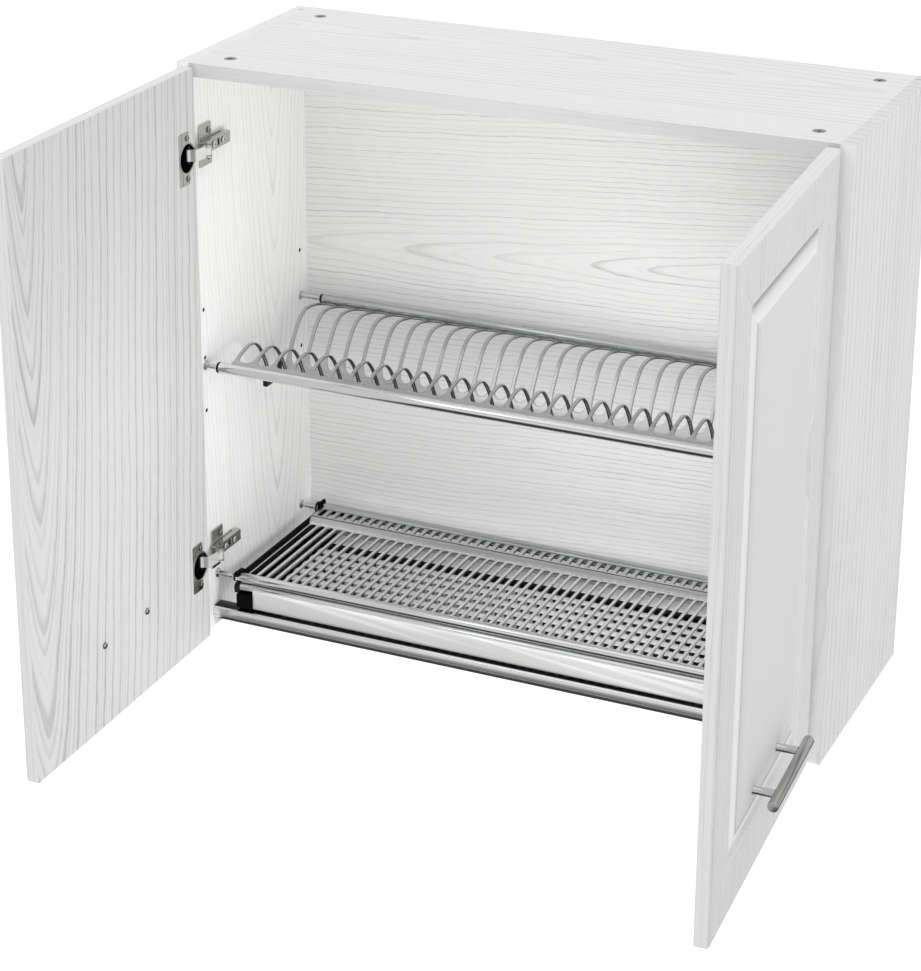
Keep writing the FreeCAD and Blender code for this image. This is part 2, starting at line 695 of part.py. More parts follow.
def hinge_places(side, angle):
    """Where the links and the door go when the door is open by this angle: the link turns about its pivot on the arm
    and the door turns about its pivot on the link, in proportion."""
    t = angle / 90.0
    sx = 1 if side == "left" else -1
    ax = PAX.v if side == "left" else W.v - PAX.v
    bx = PBX.v if side == "left" else W.v - PBX.v
    link = turn_about(ax, PAY.v, sx * TURN.v * t)
    door = link * turn_about(bx, PBY.v, -sx * (90.0 + TURN.v) * t)
    return OFF * link, OFF * door


ANGLE = {"left": OPL.v, "right": OPR.v}
for side in SIDES:
    left = side == "left"
    at_link, at_door = hinge_places(side, ANGLE[side])
    b = body("door_" + side, at_door)
    x0 = DE if left else W - DE - DW
    x1 = DE + DW if left else W - DE
    s = sketch(b, "outline", "XZ_Plane", DG + PT)
    rect(s, x0, DZ, x1, DZ + DH)
    pad(b, s, PT, back=True)
    # sunk border of the profiled field, then the field itself with its sloping sides
    s = sketch(b, "field_step", "XZ_Plane", DG + PT)
    rect(s, x0 + FM, DZ + FM, x1 - FM, DZ + DH - FM)
    pocket(b, s, FD)
    vol = b.Shape.Volume
    w = b.newObject("PartDesign::AdditiveWedge", b.Name + "_field")
    edge = FM + FS
    for prop, d in (
        ("Ymin", -(DG + PT)), ("Ymax", -(DG + PT - FD)),
        ("Xmin", x0 + edge), ("Xmax", x1 - edge), ("Zmin", DZ + edge), ("Zmax", DZ + DH - edge),
        ("X2min", x0 + FM + 3), ("X2max", x1 - FM - 3), ("Z2min", DZ + FM + 3), ("Z2max", DZ + DH - FM - 3),
    ):
        setattr(w, prop, dim(d).v)
    doc.recompute()
    for prop, d in (
        ("Ymin", -(DG + PT)), ("Ymax", -(DG + PT - FD)),
        ("Xmin", x0 + edge), ("Xmax", x1 - edge), ("Zmin", DZ + edge), ("Zmax", DZ + DH - edge),
        ("X2min", x0 + FM + 3), ("X2max", x1 - FM - 3), ("Z2min", DZ + FM + 3), ("Z2max", DZ + DH - FM - 3),
    ):
        bind(w, prop, d)
    b.Tip = w
    doc.recompute()
    if not b.Shape.Volume > vol + 1:
        raise RuntimeError("the field adds nothing")
    s = sketch(b, "cup_bores", "XZ_Plane", DG)
    for zc in (HGL, HGU):
        circle(s, mx(side, DE + CPU), zc, CPR)
    pocket(b, s, CPD, back=True)
    s = sketch(b, "cup_screw_holes", "XZ_Plane", DG)
    for zc in (HGL, HGU):
        for dz in (-24, 24):
            circle(s, mx(side, DE + CPU), zc + dz, 1.55)
    pocket(b, s, 11, back=True)
    s = sketch(b, "handle_holes", "XZ_Plane", DG)
    hx = [mx(side, DE + HDU - HDS / 2), mx(side, DE + HDU + HDS / 2)]
    for x in hx:
        circle(s, x, HDZ, 2.3)
    pocket(b, s, back=True)

    # hinge cups: a drawn steel cup with a screw flange, bored for its pin
    cups, cscrews, cpins, links = [], [], [], []
    cx = DE + CPU
    for zc in (HGL, HGU):
        c = fuse(
            scyl(side, "y", -(DG + CPD - 0.2), -DG + 1, cx, zc, CPR - 0.1),
            scyl(side, "y", -DG, -DG + 1, cx, zc, 18.6),
            sbox(side, cx - 4.5, cx + 18.5, -DG, -DG + 1, zc - 31, zc + 31),
        )
        tools = [
            scyl(side, "y", -(DG + 11.3), 2, cx, zc, 16.5),
            scyl(side, "y", -DG - 1, 2, cx, zc - 24, 1.7),
            scyl(side, "y", -DG - 1, 2, cx, zc + 24, 1.7),
            scyl(side, "z", zc - 11.3, zc + 11.3, PBX, PBY, 1.5),
        ]
        cups.append(cut(c, *tools))
        cpins.append(scyl(side, "z", zc - 11.2, zc + 11.2, PBX, PBY, 1.5))
        for dz in (-24, 24):
            cscrews.append(fuse(scyl(side, "y", -DG - 10.5, -DG + 1, cx, zc + dz, 1.5), scyl(side, "y", -DG + 1, -DG + 2.6, cx, zc + dz, 3.6)))
        # the link: flat steel with an eye at each end and a knee that clears the cup's rim
        ax, ay, bx, by, kx, ky = PAX.v, PAY.v, PBX.v, PBY.v, PKX.v, PKY.v
        sgn = 1 if left else -1

        def bar(p, q, tall=7.0, skip=0.0):
            """A flat strip from p to q, so tall each way; skip leaves its first stretch out."""
            COUNT[0] += 1
            o = doc.addObject("Part::Box", "bar%d" % COUNT[0])
            length = math.hypot(q[0] - p[0], q[1] - p[1])
            o.Length, o.Width, o.Height = length - skip, 2, 2 * tall
            px = p[0] if left else W.v - p[0]
            qx = q[0] if left else W.v - q[0]
            ang = math.degrees(math.atan2(q[1] - p[1], qx - px))
            o.Placement = FreeCAD.Placement(V(px, p[1], zc.v - tall), FreeCAD.Rotation(V(0, 0, 1), ang)) * FreeCAD.Placement(V(skip, -1, 0), FreeCAD.Rotation())
            return o

        links.append(
            cut(
                fuse(
                    bar((ax, ay), (kx, ky), 4.5), bar((ax, ay), (kx, ky), 7.0, 5.8), bar((kx, ky), (bx, by)),
                    scyl(side, "z", zc - 7, zc + 7, PKX, PKY, 1),
                    scyl(side, "z", zc - 4.5, zc + 4.5, PAX, PAY, 3.3),
                    scyl(side, "z", zc - 7, zc + 7, PBX, PBY, 2.6),
                ),
                scyl(side, "z", zc - 6, zc + 6, PAX, PAY, 2.05),
                scyl(side, "z", zc - 8, zc + 8, PBX, PBY, 1.55),
            )
        )
    group("hinge_cups_" + side, cups, at_door)
    group("hinge_cup_screws_" + side, cscrews, at_door)
    group("hinge_cup_pins_" + side, cpins, at_door)
    group("hinge_links_" + side, links, at_link)

    # bar handle: two posts, a round bar, two screws from the inside
    yf = -(DG + PT)
    yb = yf - HDO
    xa = DE + HDU
    group("handle_bar_" + side, [scyl(side, "x", xa - HDL / 2, xa + HDL / 2, yb, HDZ, HDR)], at_door)
    posts, hscrews = [], []
    for sg in (-1, 1):
        xp = xa + HDS / 2 * sg
        posts.append(cut(scyl(side, "y", yb, yf, xp, HDZ, 4.5), scyl(side, "x", xp - 8, xp + 8, yb, HDZ, HDR), scyl(side, "y", yf - 14, yf + 1, xp, HDZ, 2.02)))
        hscrews.append(fuse(scyl(side, "y", yf - 12, -DG, xp, HDZ, 2), scyl(side, "y", -DG, -DG + 2.4, xp, HDZ, 4)))
    group("handle_posts_" + side, posts, at_door)
    group("handle_screws_" + side, hscrews, at_door)

# ---- hinge arms and plates on the side panels --------------------------------------------------------------------------
for side in SIDES:
    plates = []
    for nm, zc in (("lower", HGL), ("upper", HGU)):
        plate = fuse(
            sbox(side, PT, PT + 2.4, 16, 43, zc - 25, zc + 25),
            sbox(side, PT, PT + 2.4, 16, 66, zc - 8, zc + 8),
            sbox(side, PT + 2.4, PT + 8, 20, 43, zc - 5, zc + 5),
            sbox(side, PT + 2.4, PT + 8, 49.6, 64, zc - 5, zc + 5),
        )
        plates.append(
            cut(
                plate,
                scyl(side, "x", PT - 1, PT + 6, HPX, zc - 16, 2.5),
                scyl(side, "x", PT - 1, PT + 6, HPX, zc + 16, 2.5),
                scyl(side, "x", PT + 1, PT + 12, 35, zc, 2.05),
                scyl(side, "x", PT + 1, PT + 12, 57, zc, 2.05),
            )
        )
        arm = cut(
            fuse(sbox(side, PT + 3, PT + 10, 13, 74, zc - 7, zc + 7)),
            sbox(side, PT, PT + 8.4, 12, 72.6, zc - 5.4, zc + 5.4),
            scyl(side, "x", PT + 6, PT + 12, 35, zc, 2.05),
            scyl(side, "x", PT + 6, PT + 12, 57, zc, 2.05),
            sbox(side, PT + 6, PT + 12, 44.2, 48.6, zc - 4.4, zc + 4.4),
        )
        # two cheeks that carry the link's pivot in front of the channel
        cheeks = []
        for a, c in ((-7, -5.4), (5.4, 7)):
            lo, hi = zc + a, zc + c
            COUNT[0] += 1
            w = doc.addObject("Part::Wedge", "cheek%d" % COUNT[0])
            # a four-sided plate in the XY plane, extruded along Z: narrow end at the pivot, wide end at the channel
            xa, xb = PT + 3, PT + 10
            pa, pb = PAX - 3.2, PAX + 4.2
            if side == "right":
                xa, xb, pa, pb = W - xb, W - xa, W - pb, W - pa
            for prop, d in (("Ymin", PAY), ("Ymax", 16), ("Xmin", pa), ("Xmax", pb), ("X2min", xa), ("X2max", xb), ("Zmin", lo), ("Zmax", hi), ("Z2min", lo), ("Z2max", hi)):
                setattr(w, prop, dim(d).v)
            doc.recompute()
            for prop, d in (("Ymin", PAY), ("Xmin", pa), ("Xmax", pb), ("X2min", xa), ("X2max", xb), ("Zmin", lo), ("Zmax", hi), ("Z2min", lo), ("Z2max", hi)):
                bind(w, prop, d)
            cheeks += [w, scyl(side, "z", lo, hi, PAX, PAY, 4.4)]
        arm = cut(fuse(arm, *cheeks), scyl(side, "z", zc - 8, zc + 8, PAX, PAY, 2))
        named(arm, "hinge_arm_%s_%s" % (side, nm))
    group("hinge_plates_" + side, plates)
group("hinge_arm_pins", [scyl(side, "z", zc - 7.4, zc + 7.4, PAX, PAY, 2) for side in SIDES for zc in (HGL, HGU)])
group(
    "hinge_plate_screws",
    [
        fuse(scyl(side, "x", PT - 10.5, PT + 2.4, HPX, zc + dz, 2.45), scyl(side, "x", PT + 2.4, PT + 4.4, HPX, zc + dz, 4))
        for side in SIDES for zc in (HGL, HGU) for dz in (-16, 16)
    ],
)
group(
    "hinge_arm_screws",
    [
        fuse(scyl(side, "x", PT + 2.6, PT + 10, y, zc, 2), scyl(side, "x", PT + 10, PT + 12, y, zc, 3.6))
        for side in SIDES for zc in (HGL, HGU) for y in (35, 57)
    ],
)

# ---- checks and files ------------------------------------------------------------------------------------------------
doc.recompute()
bad = [o.Name for o in doc.Objects if "Invalid" in o.State or "Error" in o.State]
if bad:
    raise RuntimeError("failed objects: %s" % bad)
os.makedirs("parts", exist_ok=True)
for old in os.listdir("parts"):
    if old.endswith(".step") and old[:-5] not in NODES:
        os.remove(os.path.join("parts", old))
total = 0
for name, o in NODES.items():
    shp = o.Shape
    if shp.isNull() or not shp.isValid() or not shp.Solids:
        raise RuntimeError("%s has no valid solid" % name)
    shp.exportStep("parts/%s.step" % name)
    total += 1
print("%d nodes" % total)
for name, o in sorted(NODES.items()):
    bb = o.Shape.BoundBox
    print("%-28s solids %2d  vol %9.1f  x %.1f..%.1f y %.1f..%.1f z %.1f..%.1f" % (name, len(o.Shape.Solids), o.Shape.Volume, bb.XMin, bb.XMax, bb.YMin, bb.YMax, bb.ZMin, bb.ZMax))
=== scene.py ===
import bpy, bmesh, json, math
from mathutils import Vector, Matrix

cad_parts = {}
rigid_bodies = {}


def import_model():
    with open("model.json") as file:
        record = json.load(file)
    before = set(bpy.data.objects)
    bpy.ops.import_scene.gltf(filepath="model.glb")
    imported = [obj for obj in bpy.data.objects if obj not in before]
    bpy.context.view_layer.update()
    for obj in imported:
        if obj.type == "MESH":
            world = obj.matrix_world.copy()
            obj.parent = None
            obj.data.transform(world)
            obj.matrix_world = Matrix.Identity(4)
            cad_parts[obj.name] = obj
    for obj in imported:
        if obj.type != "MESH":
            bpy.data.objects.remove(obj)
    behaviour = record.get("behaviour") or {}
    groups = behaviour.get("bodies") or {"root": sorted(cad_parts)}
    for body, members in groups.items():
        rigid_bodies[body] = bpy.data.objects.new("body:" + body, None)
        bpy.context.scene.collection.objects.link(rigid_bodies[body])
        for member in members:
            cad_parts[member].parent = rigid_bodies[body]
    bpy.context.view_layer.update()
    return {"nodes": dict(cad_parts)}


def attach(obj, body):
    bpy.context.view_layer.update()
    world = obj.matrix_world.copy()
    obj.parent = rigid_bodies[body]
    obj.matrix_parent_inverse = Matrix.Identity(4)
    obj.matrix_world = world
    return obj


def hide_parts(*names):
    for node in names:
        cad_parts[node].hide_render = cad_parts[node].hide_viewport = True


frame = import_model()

NODES = frame["nodes"]
MM = 0.001


def P(x, y, z):
    """A point of the carcass, in millimetres from its front lower left corner, in the frame's metres."""
    return Vector(((x - 400.0) * MM, (y - 300.0) * MM, (z - 680.0) * MM))


TO_FRAME = Matrix.Translation(P(0, 0, 0)) @ Matrix.Scale(MM, 4)

# ---------------------------------------------------------------- where the doors and their hinge links stand, as stored
PA, PB, PK, TURN = (34.0, 8.0), (10.26668, -6.02243), (17.62319, -10.39294), 35.85508
OPEN = {"left": 89.0, "right": 93.5}
SIDES = ("left", "right")


def turn_about(x, y, deg):
    return Matrix.Translation((x, y, 0)) @ Matrix.Rotation(math.radians(deg), 4, "Z") @ Matrix.Translation((-x, -y, 0))


def hinge_matrices(side):
    """Rigid moves, in metres, that take the closed links and the closed door to where they are stored."""
    t = OPEN[side] / 90.0
    s = 1 if side == "left" else -1
    ax = PA[0] if side == "left" else 800 - PA[0]
    bx = PB[0] if side == "left" else 800 - PB[0]
    link = turn_about(ax, PA[1], s * TURN * t)
    door = link @ turn_about(bx, PB[1], -s * (90 + TURN) * t)
    return tuple(TO_FRAME @ m @ TO_FRAME.inverted() for m in (link, door))


LINK, DOOR = {}, {}
for side in SIDES:
    LINK[side], DOOR[side] = hinge_matrices(side)


# ---------------------------------------------------------------- node graphs
class Graph:
    def __init__(self, name):
        self.mat = bpy.data.materials.new(name)
        self.mat.use_nodes = True
        self.t = self.mat.node_tree
        self.t.nodes.clear()
        self.out = self.t.nodes.new("ShaderNodeOutputMaterial")
        self.bsdf = self.t.nodes.new("ShaderNodeBsdfPrincipled")
        self.t.links.new(self.bsdf.outputs[0], self.out.inputs[0])

    def put(self, sock, v):
        if isinstance(v, bpy.types.NodeSocket):
            self.t.links.new(v, sock)
        elif v is not None:
            sock.default_value = v

    def m(self, op, a, b=None, c=None, clamp=False):
        n = self.t.nodes.new("ShaderNodeMath")
        n.operation = op
        n.use_clamp = clamp
        for i, v in enumerate((a, b, c)):
            if v is not None:
                self.put(n.inputs[i], v)
        return n.outputs[0]

    def obj(self):
        n = self.t.nodes.new("ShaderNodeTexCoord")
        return n.outputs["Object"]

    def sep(self, v):
        n = self.t.nodes.new("ShaderNodeSeparateXYZ")
        self.put(n.inputs[0], v)
        return n.outputs[0], n.outputs[1], n.outputs[2]

    def comb(self, x, y, z):
        n = self.t.nodes.new("ShaderNodeCombineXYZ")
        for i, v in enumerate((x, y, z)):
            self.put(n.inputs[i], v)
        return n.outputs[0]

    def noise(self, vec, scale, detail=2.0, rough=0.5, dist=0.0, out=0):
        n = self.t.nodes.new("ShaderNodeTexNoise")
        self.put(n.inputs["Vector"], vec)
        n.inputs["Scale"].default_value = scale
        n.inputs["Detail"].default_value = detail
        n.inputs["Roughness"].default_value = rough
        n.inputs["Distortion"].default_value = dist
        return n.outputs[out]

    def white(self, w):
        n = self.t.nodes.new("ShaderNodeTexWhiteNoise")
        n.noise_dimensions = "1D"
        self.put(n.inputs["W"], w)
        return n.outputs[0]

    def step(self, v, a, b, x=0.0, y=1.0, kind="SMOOTHSTEP"):
        n = self.t.nodes.new("ShaderNodeMapRange")
        n.interpolation_type = kind
        self.put(n.inputs["Value"], v)
        n.inputs["From Min"].default_value = a
        n.inputs["From Max"].default_value = b
        n.inputs["To Min"].default_value = x
        n.inputs["To Max"].default_value = y
        return n.outputs[0]

    def mix(self, f, a, b):
        n = self.t.nodes.new("ShaderNodeMix")
        n.data_type = "RGBA"
        self.put(n.inputs[0], f)
        self.put(n.inputs[6], a)
        self.put(n.inputs[7], b)
        return n.outputs[2]

    def bump(self, h, strength, distance, normal=None):
        n = self.t.nodes.new("ShaderNodeBump")
        n.inputs["Strength"].default_value = strength
        n.inputs["Distance"].default_value = distance
        self.put(n.inputs["Height"], h)
        if normal is not None:
            self.put(n.inputs["Normal"], normal)
        return n.outputs[0]

    def set(self, **kw):
        for k, v in kw.items():
            self.put(self.bsdf.inputs[k.replace("_", " ")], v)
        return self.mat


def rgb(v, tint=(1, 1, 1)):
    return (v * tint[0], v * tint[1], v * tint[2], 1.0)


def film(name, along, across, thick, u0, d0, tilt, v0, freq, seed, light=0.80, dark=0.46, strength=1.0, fine_lines=0.14, wob=1.0, lean=0.0, second=0.30, quiet=None, pw=2.0, w0=0.0, vary=0.75, tint=(1.0, 0.998, 0.992), painted_groove_light=False):
    """White open-grain film: growth rings cut nearly along the trunk. along, across and thick name the board's axes;
    the heart of the rings is across at u0 + lean * along, and lies d0 + tilt * (along - v0) under the face, so that
    nested arches form over it and straight lines run beside them. quiet is a box across and along in which the lines
    are weaker."""
    g = Graph(name)
    ax = dict(zip("xyz", g.sep(g.obj())))
    u, v, w = ax[across], ax[along], g.m("SUBTRACT", ax[thick], w0)
    big = g.noise(g.comb(g.m("MULTIPLY", u, 3.0), g.m("MULTIPLY_ADD", v, 2.2, seed), seed * 0.37), 1.0, 1.0, 0.5)
    mid = g.noise(g.comb(g.m("MULTIPLY", u, 20.0), g.m("MULTIPLY_ADD", v, 12.0, seed * 1.7), seed), 1.0, 2.0, 0.5)
    fine = g.noise(g.comb(g.m("MULTIPLY", u, 100.0), g.m("MULTIPLY_ADD", v, 45.0, seed * 2.3), seed), 1.0, 2.0, 0.55)
    du = g.m("MULTIPLY", g.m("SUBTRACT", big, 0.5), 0.022 * wob)
    du = g.m("MULTIPLY_ADD", g.m("SUBTRACT", mid, 0.5), 0.0060 * wob, du)
    du = g.m("MULTIPLY_ADD", g.m("SUBTRACT", fine, 0.5), 0.0024, du)
    uu = g.m("ADD", g.m("SUBTRACT", g.m("MULTIPLY_ADD", v, -lean, u), u0), du)
    big2 = g.noise(g.comb(g.m("MULTIPLY_ADD", v, 4.0, seed * 3.1), g.m("MULTIPLY", u, 2.0), seed), 1.0, 1.0, 0.5)
    depth = g.m("ADD", g.m("MULTIPLY_ADD", g.m("SUBTRACT", v, v0), tilt, d0), g.m("MULTIPLY_ADD", g.m("SUBTRACT", big2, 0.5), 0.010, w))
    r = g.m("POWER", g.m("ADD", g.m("POWER", g.m("ABSOLUTE", uu), pw), g.m("POWER", g.m("ABSOLUTE", depth), pw)), 1.0 / pw)
    ph = g.m("MULTIPLY", r, freq)
    ph = g.m("ADD", ph, g.m("MULTIPLY", g.noise(g.comb(g.m("MULTIPLY", r, 26.0), seed, 0.0), 1.0, 2.0, 0.6), 0.011 * freq))
    f = g.m("FRACT", ph)
    amp = g.m("MULTIPLY_ADD", g.white(g.m("ADD", g.m("FLOOR", ph), seed)), vary, 1.10 - vary)
    soft = g.m("MULTIPLY", g.step(f, 0.56, 0.92), g.step(f, 0.93, 1.0, 1.0, 0.0))
    sharp = g.m("MULTIPLY", g.step(f, 0.76, 0.90), g.step(f, 0.92, 0.99, 1.0, 0.0))
    line = g.m("MULTIPLY_ADD", soft, 0.30, g.m("MULTIPLY", sharp, 0.70))
    # finer rings between the strong ones
    ph2 = g.m("MULTIPLY_ADD", ph, 3.0, 0.42)
    f2 = g.m("FRACT", ph2)
    amp2 = g.m("MULTIPLY_ADD", g.white(g.m("ADD", g.m("FLOOR", ph2), seed + 5.0)), 1.0, 0.2)
    line2 = g.m("MULTIPLY", g.m("MULTIPLY", g.step(f2, 0.45, 0.85), g.step(f2, 0.88, 1.0, 1.0, 0.0)), amp2)
    # pores: short streaks along the grain that feather the lines
    pores = g.noise(g.comb(g.m("MULTIPLY", u, 1000.0), g.m("MULTIPLY", v, 34.0), g.m("MULTIPLY", w, 1000.0)), 1.0, 2.0, 0.6)
    pore = g.step(pores, 0.40, 0.60)
    faint = g.noise(g.comb(g.m("MULTIPLY_ADD", uu, 420.0, seed), g.m("MULTIPLY", v, 3.0), g.m("MULTIPLY", w, 420.0)), 1.0, 2.0, 0.6)
    patch = g.noise(g.comb(g.m("MULTIPLY", u, 8.0), g.m("MULTIPLY_ADD", v, 2.5, seed), seed), 1.0, 2.0, 0.5)
    k = g.m("MULTIPLY_ADD", line2, second, g.m("MULTIPLY", line, amp))
    k = g.m("MULTIPLY", k, g.m("MULTIPLY_ADD", pore, 0.50, 0.50))
    k = g.m("MULTIPLY", k, g.step(patch, 0.3, 0.7, 0.75 * strength, 1.15 * strength))
    k = g.m("MULTIPLY_ADD", g.step(faint, 0.46, 0.72), fine_lines, k)
    if quiet:
        (ua, ub), (va, vb), keep = quiet
        inside = g.m("MULTIPLY", g.m("MULTIPLY", g.step(u, ua - 0.004, ua + 0.004), g.step(u, ub - 0.004, ub + 0.004, 1.0, 0.0)), g.m("MULTIPLY", g.step(v, va - 0.004, va + 0.004), g.step(v, vb - 0.004, vb + 0.004, 1.0, 0.0)))
        k = g.m("MULTIPLY", k, g.m("MULTIPLY_ADD", inside, keep - 1.0, 1.0))
    k = g.m("MULTIPLY_ADD", g.m("SUBTRACT", patch, 0.5), 0.08, k, clamp=True)
    col = g.mix(k, rgb(light, tint), rgb(dark * light / 0.80, (1.0, 1.0, 0.99)))
    if painted_groove_light:
        # where the board is milled, its mesh carries painted shade and painted highlight across the groove, 1 being
        # plain: below 1 the film is darkened towards black, above 1 it is lightened towards pale grey
        n = g.t.nodes.new("ShaderNodeAttribute")
        n.attribute_name = "painted_light"
        painted_light = n.outputs["Fac"]
        col = g.mix(g.m("MINIMUM", painted_light, 1.0), (0.0, 0.0, 0.0, 1.0), col)
        col = g.mix(g.step(painted_light, 1.0, 2.0, kind="LINEAR"), col, (0.95, 0.95, 0.955, 1.0))
    h =g.m("SUBTRACT", 1.0, g.m("MULTIPLY_ADD", pore, 0.12, k))
    g.set(Base_Color=col, Roughness=g.m("MULTIPLY_ADD", k, 0.15, 0.46), Normal=g.bump(h, 0.30, 0.0004))
    g.bsdf.inputs["Specular IOR Level"].default_value = 0.30
    return g.mat


def metal(name, base, rough, axis=None, streak=0.05, scale=900.0, bump=0.05, spread=1.0, mix=1.0):
    """Metal with fine drawing lines along one axis, or an even haze when no axis is given."""
    g = Graph(name)
    ax = dict(zip("xyz", g.sep(g.obj())))
    if axis:
        v = g.comb(*[g.m("MULTIPLY", ax[a], 5.0 if a == axis else scale) for a in "xyz"])
        n = g.noise(v, 1.0, 3.0, 0.6)
    else:
        n = g.noise(g.obj(), 320.0, 3.0, 0.6)
    cloud = g.noise(g.obj(), 16.0, 2.0, 0.5)
    k = g.m("MULTIPLY_ADD", g.m("SUBTRACT", n, 0.5), streak * 2, g.m("MULTIPLY", g.m("SUBTRACT", cloud, 0.5), streak))
    col = g.mix(g.m("ADD", k, 0.5, clamp=True), tuple(c * 0.80 for c in base) + (1,), tuple(min(c * 1.18, 1) for c in base) + (1,))
    g.set(Base_Color=col, Roughness=g.m("MULTIPLY_ADD", k, 0.5 * spread, rough), Normal=g.bump(n, bump, 0.0002))
    g.bsdf.inputs["Metallic"].default_value = mix
    return g.mat


def plastic(name, base, rough=0.45, grain=900.0, spec=0.4):
    g = Graph(name)
    n = g.noise(g.obj(), grain, 2.0, 0.5)
    cloud = g.noise(g.obj(), 30.0, 2.0, 0.5)
    col = g.mix(cloud, tuple(c * 0.8 for c in base) + (1,), tuple(c * 1.25 for c in base) + (1,))
    g.set(Base_Color=col, Roughness=g.m("MULTIPLY_ADD", g.m("SUBTRACT", n, 0.5), 0.2, rough), Normal=g.bump(n, 0.12, 0.0002))
    g.bsdf.inputs["Specular IOR Level"].default_value = spec
    return g.mat


M = {}
# the same white film on every board, its lightness set board by board to even out how the lamps fall: lighter on the
# shaded inner faces, darker where the light falls hardest; painted light and painted shade
M["side_left"] = film("film_side_left", "z", "y", "x", -0.105, 0.030, -0.110, 0.04, 130.0, 3.0, light=0.92, strength=0.62, pw=1.4, w0=-0.384)
M["side_right"] = film("film_side_right", "z", "y", "x", -0.42, 0.02, -0.04, 0.05, 64.0, 9.0, light=0.82, strength=0.66, second=0.75, w0=0.4, vary=0.4)
M["top"] = film("film_top", "x", "y", "z", -0.085, 0.03, 0.055, -0.42, 100.0, 21.0, light=0.89, strength=0.62, pw=1.6, w0=0.04)
M["back"] = film("film_back", "x", "z", "y", -0.232, 0.022, -0.053, 0.384, 160.0, 33.0, light=0.735, strength=0.90, lean=0.05, second=0.2, pw=1.8)
M["door_left"] = film("film_door_left", "z", "x", "y", -0.030, 0.016, -0.125, 0.038, 66.0, 47.0, light=0.645, strength=0.98, second=0.55, pw=1.5, w0=-0.302, vary=0.55, painted_groove_light=True)
M["door_right"] = film("film_door_right", "z", "x", "y", 0.55, 0.02, 0.03, -0.7, 110.0, 57.0, light=0.77, strength=0.66, second=0.45, quiet=((0.064, 0.336), (-0.616, -0.024), 0.30), w0=-0.318, painted_groove_light=True)
# the edge films have straighter stripes, drawn darker on the side and front edges, which the lamps light hardest, and
# lighter on the top edges: painted shade and painted light
for side, u in (("left", -0.5), ("right", 0.5)):
    M["edge_" + side] = film("film_edge_" + side, "z", "y", "x", 0.2, 0.02, 0.0, 0.0, 190.0, 71.0, light=0.60, strength=0.45, second=0.6, w0=u, wob=0.1, vary=0.5)
M["edge_top"] = film("film_edge_upper", "x", "y", "z", 0.2, 0.02, 0.0, 0.0, 190.0, 73.0, light=0.86, strength=0.45, second=0.6, w0=0.04, wob=0.1, vary=0.5)
M["edge_front"] = film("film_edge_front", "x", "z", "y", 0.3, 0.02, 0.0, 0.0, 150.0, 75.0, light=0.60, strength=0.20, second=0.4, w0=-0.3, wob=0.1, vary=0.4)
M["batten"] = film("film_batten", "x", "z", "y", -0.72, 0.02, 0.03, -0.4, 120.0, 63.0)
M["steel"] = metal("stainless_satin", (0.47, 0.475, 0.47), 0.28, "x", 0.08, 900.0, 0.03)
# a near-black copy of the steel: painted shade on the turned-down lips of the racks and on the pins inside the hinge
# cups
M["steel_painted_shade"] = metal("stainless_shaded", (0.08, 0.08, 0.08), 0.36, "x", 0.05)
M["tube"] = metal("stainless_tube", (0.74, 0.75, 0.745), 0.15, "x", 0.025, 500.0, 0.01)
M["rib"] = metal("stainless_rib", (0.80, 0.805, 0.80), 0.24, "y", 0.02, 500.0, 0.01)
M["pan"] = metal("stainless_bright", (0.72, 0.725, 0.72), 0.20, "x", 0.03, 500.0, 0.02, mix=0.45)
# a near-black copy of the tray steel: painted shade at the tray's ends and in its last valley
M["pan_deep"] = metal("stainless_bright_shaded", (0.02, 0.02, 0.02), 0.30, "x", 0.03, 500.0, 0.02)
M["alu"] = metal("aluminium_bright", (0.78, 0.79, 0.79), 0.22, "x", 0.04, 500.0, 0.02)
# a near-black copy of the aluminium: painted shade, a dark reflection painted on the rail's top and back faces
M["alu_dark"] = metal("aluminium_shaded", (0.028, 0.027, 0.025), 0.26, "x", 0.10, 800.0)
M["nickel"] = metal("nickel_plate", (0.52, 0.515, 0.49), 0.20, None, 0.12)
# a lighter, half-metallic copy of the nickel plating: painted light on the hinge links, the arm screws and the
# pressings' broken edges
M["nickel_painted_light"] = metal("nickel_plate_bright", (0.80, 0.80, 0.78), 0.30, None, 0.06, mix=0.5)
# a near-black copy of the nickel plating: painted shade on screw rims and recesses and on the pressings' faces turned
# down
M["nickel_deep"] = metal("nickel_plate_shaded", (0.09, 0.088, 0.084), 0.28, None, 0.12)


def bright_wall():
    """The tray's front wall: polished sheet drawn pale, with long paler streaks that run down to the right: painted
    reflection.
    """
    g = Graph("stainless_front_wall")
    x, y, z = g.sep(g.obj())
    n = g.noise(g.comb(g.m("MULTIPLY_ADD", z, 9.0, g.m("MULTIPLY", x, 6.0)), g.m("MULTIPLY", z, 40.0), 0.0), 1.0, 2.0, 0.5)
    s = g.noise(g.comb(g.m("MULTIPLY", x, 2.2), g.m("MULTIPLY_ADD", x, 11.0, g.m("MULTIPLY", z, 120.0)), 4.0), 1.0, 1.0, 0.4)
    k = g.m("MULTIPLY_ADD", g.step(s, 0.52, 0.66), 0.6, g.m("MULTIPLY", n, 0.5), clamp=True)
    col = g.mix(k, (0.66, 0.65, 0.63, 1), (0.90, 0.92, 0.95, 1))
    g.set(Base_Color=col, Roughness=g.m("MULTIPLY_ADD", n, 0.1, 0.12))
    g.bsdf.inputs["Metallic"].default_value = 0.35
    return g.mat


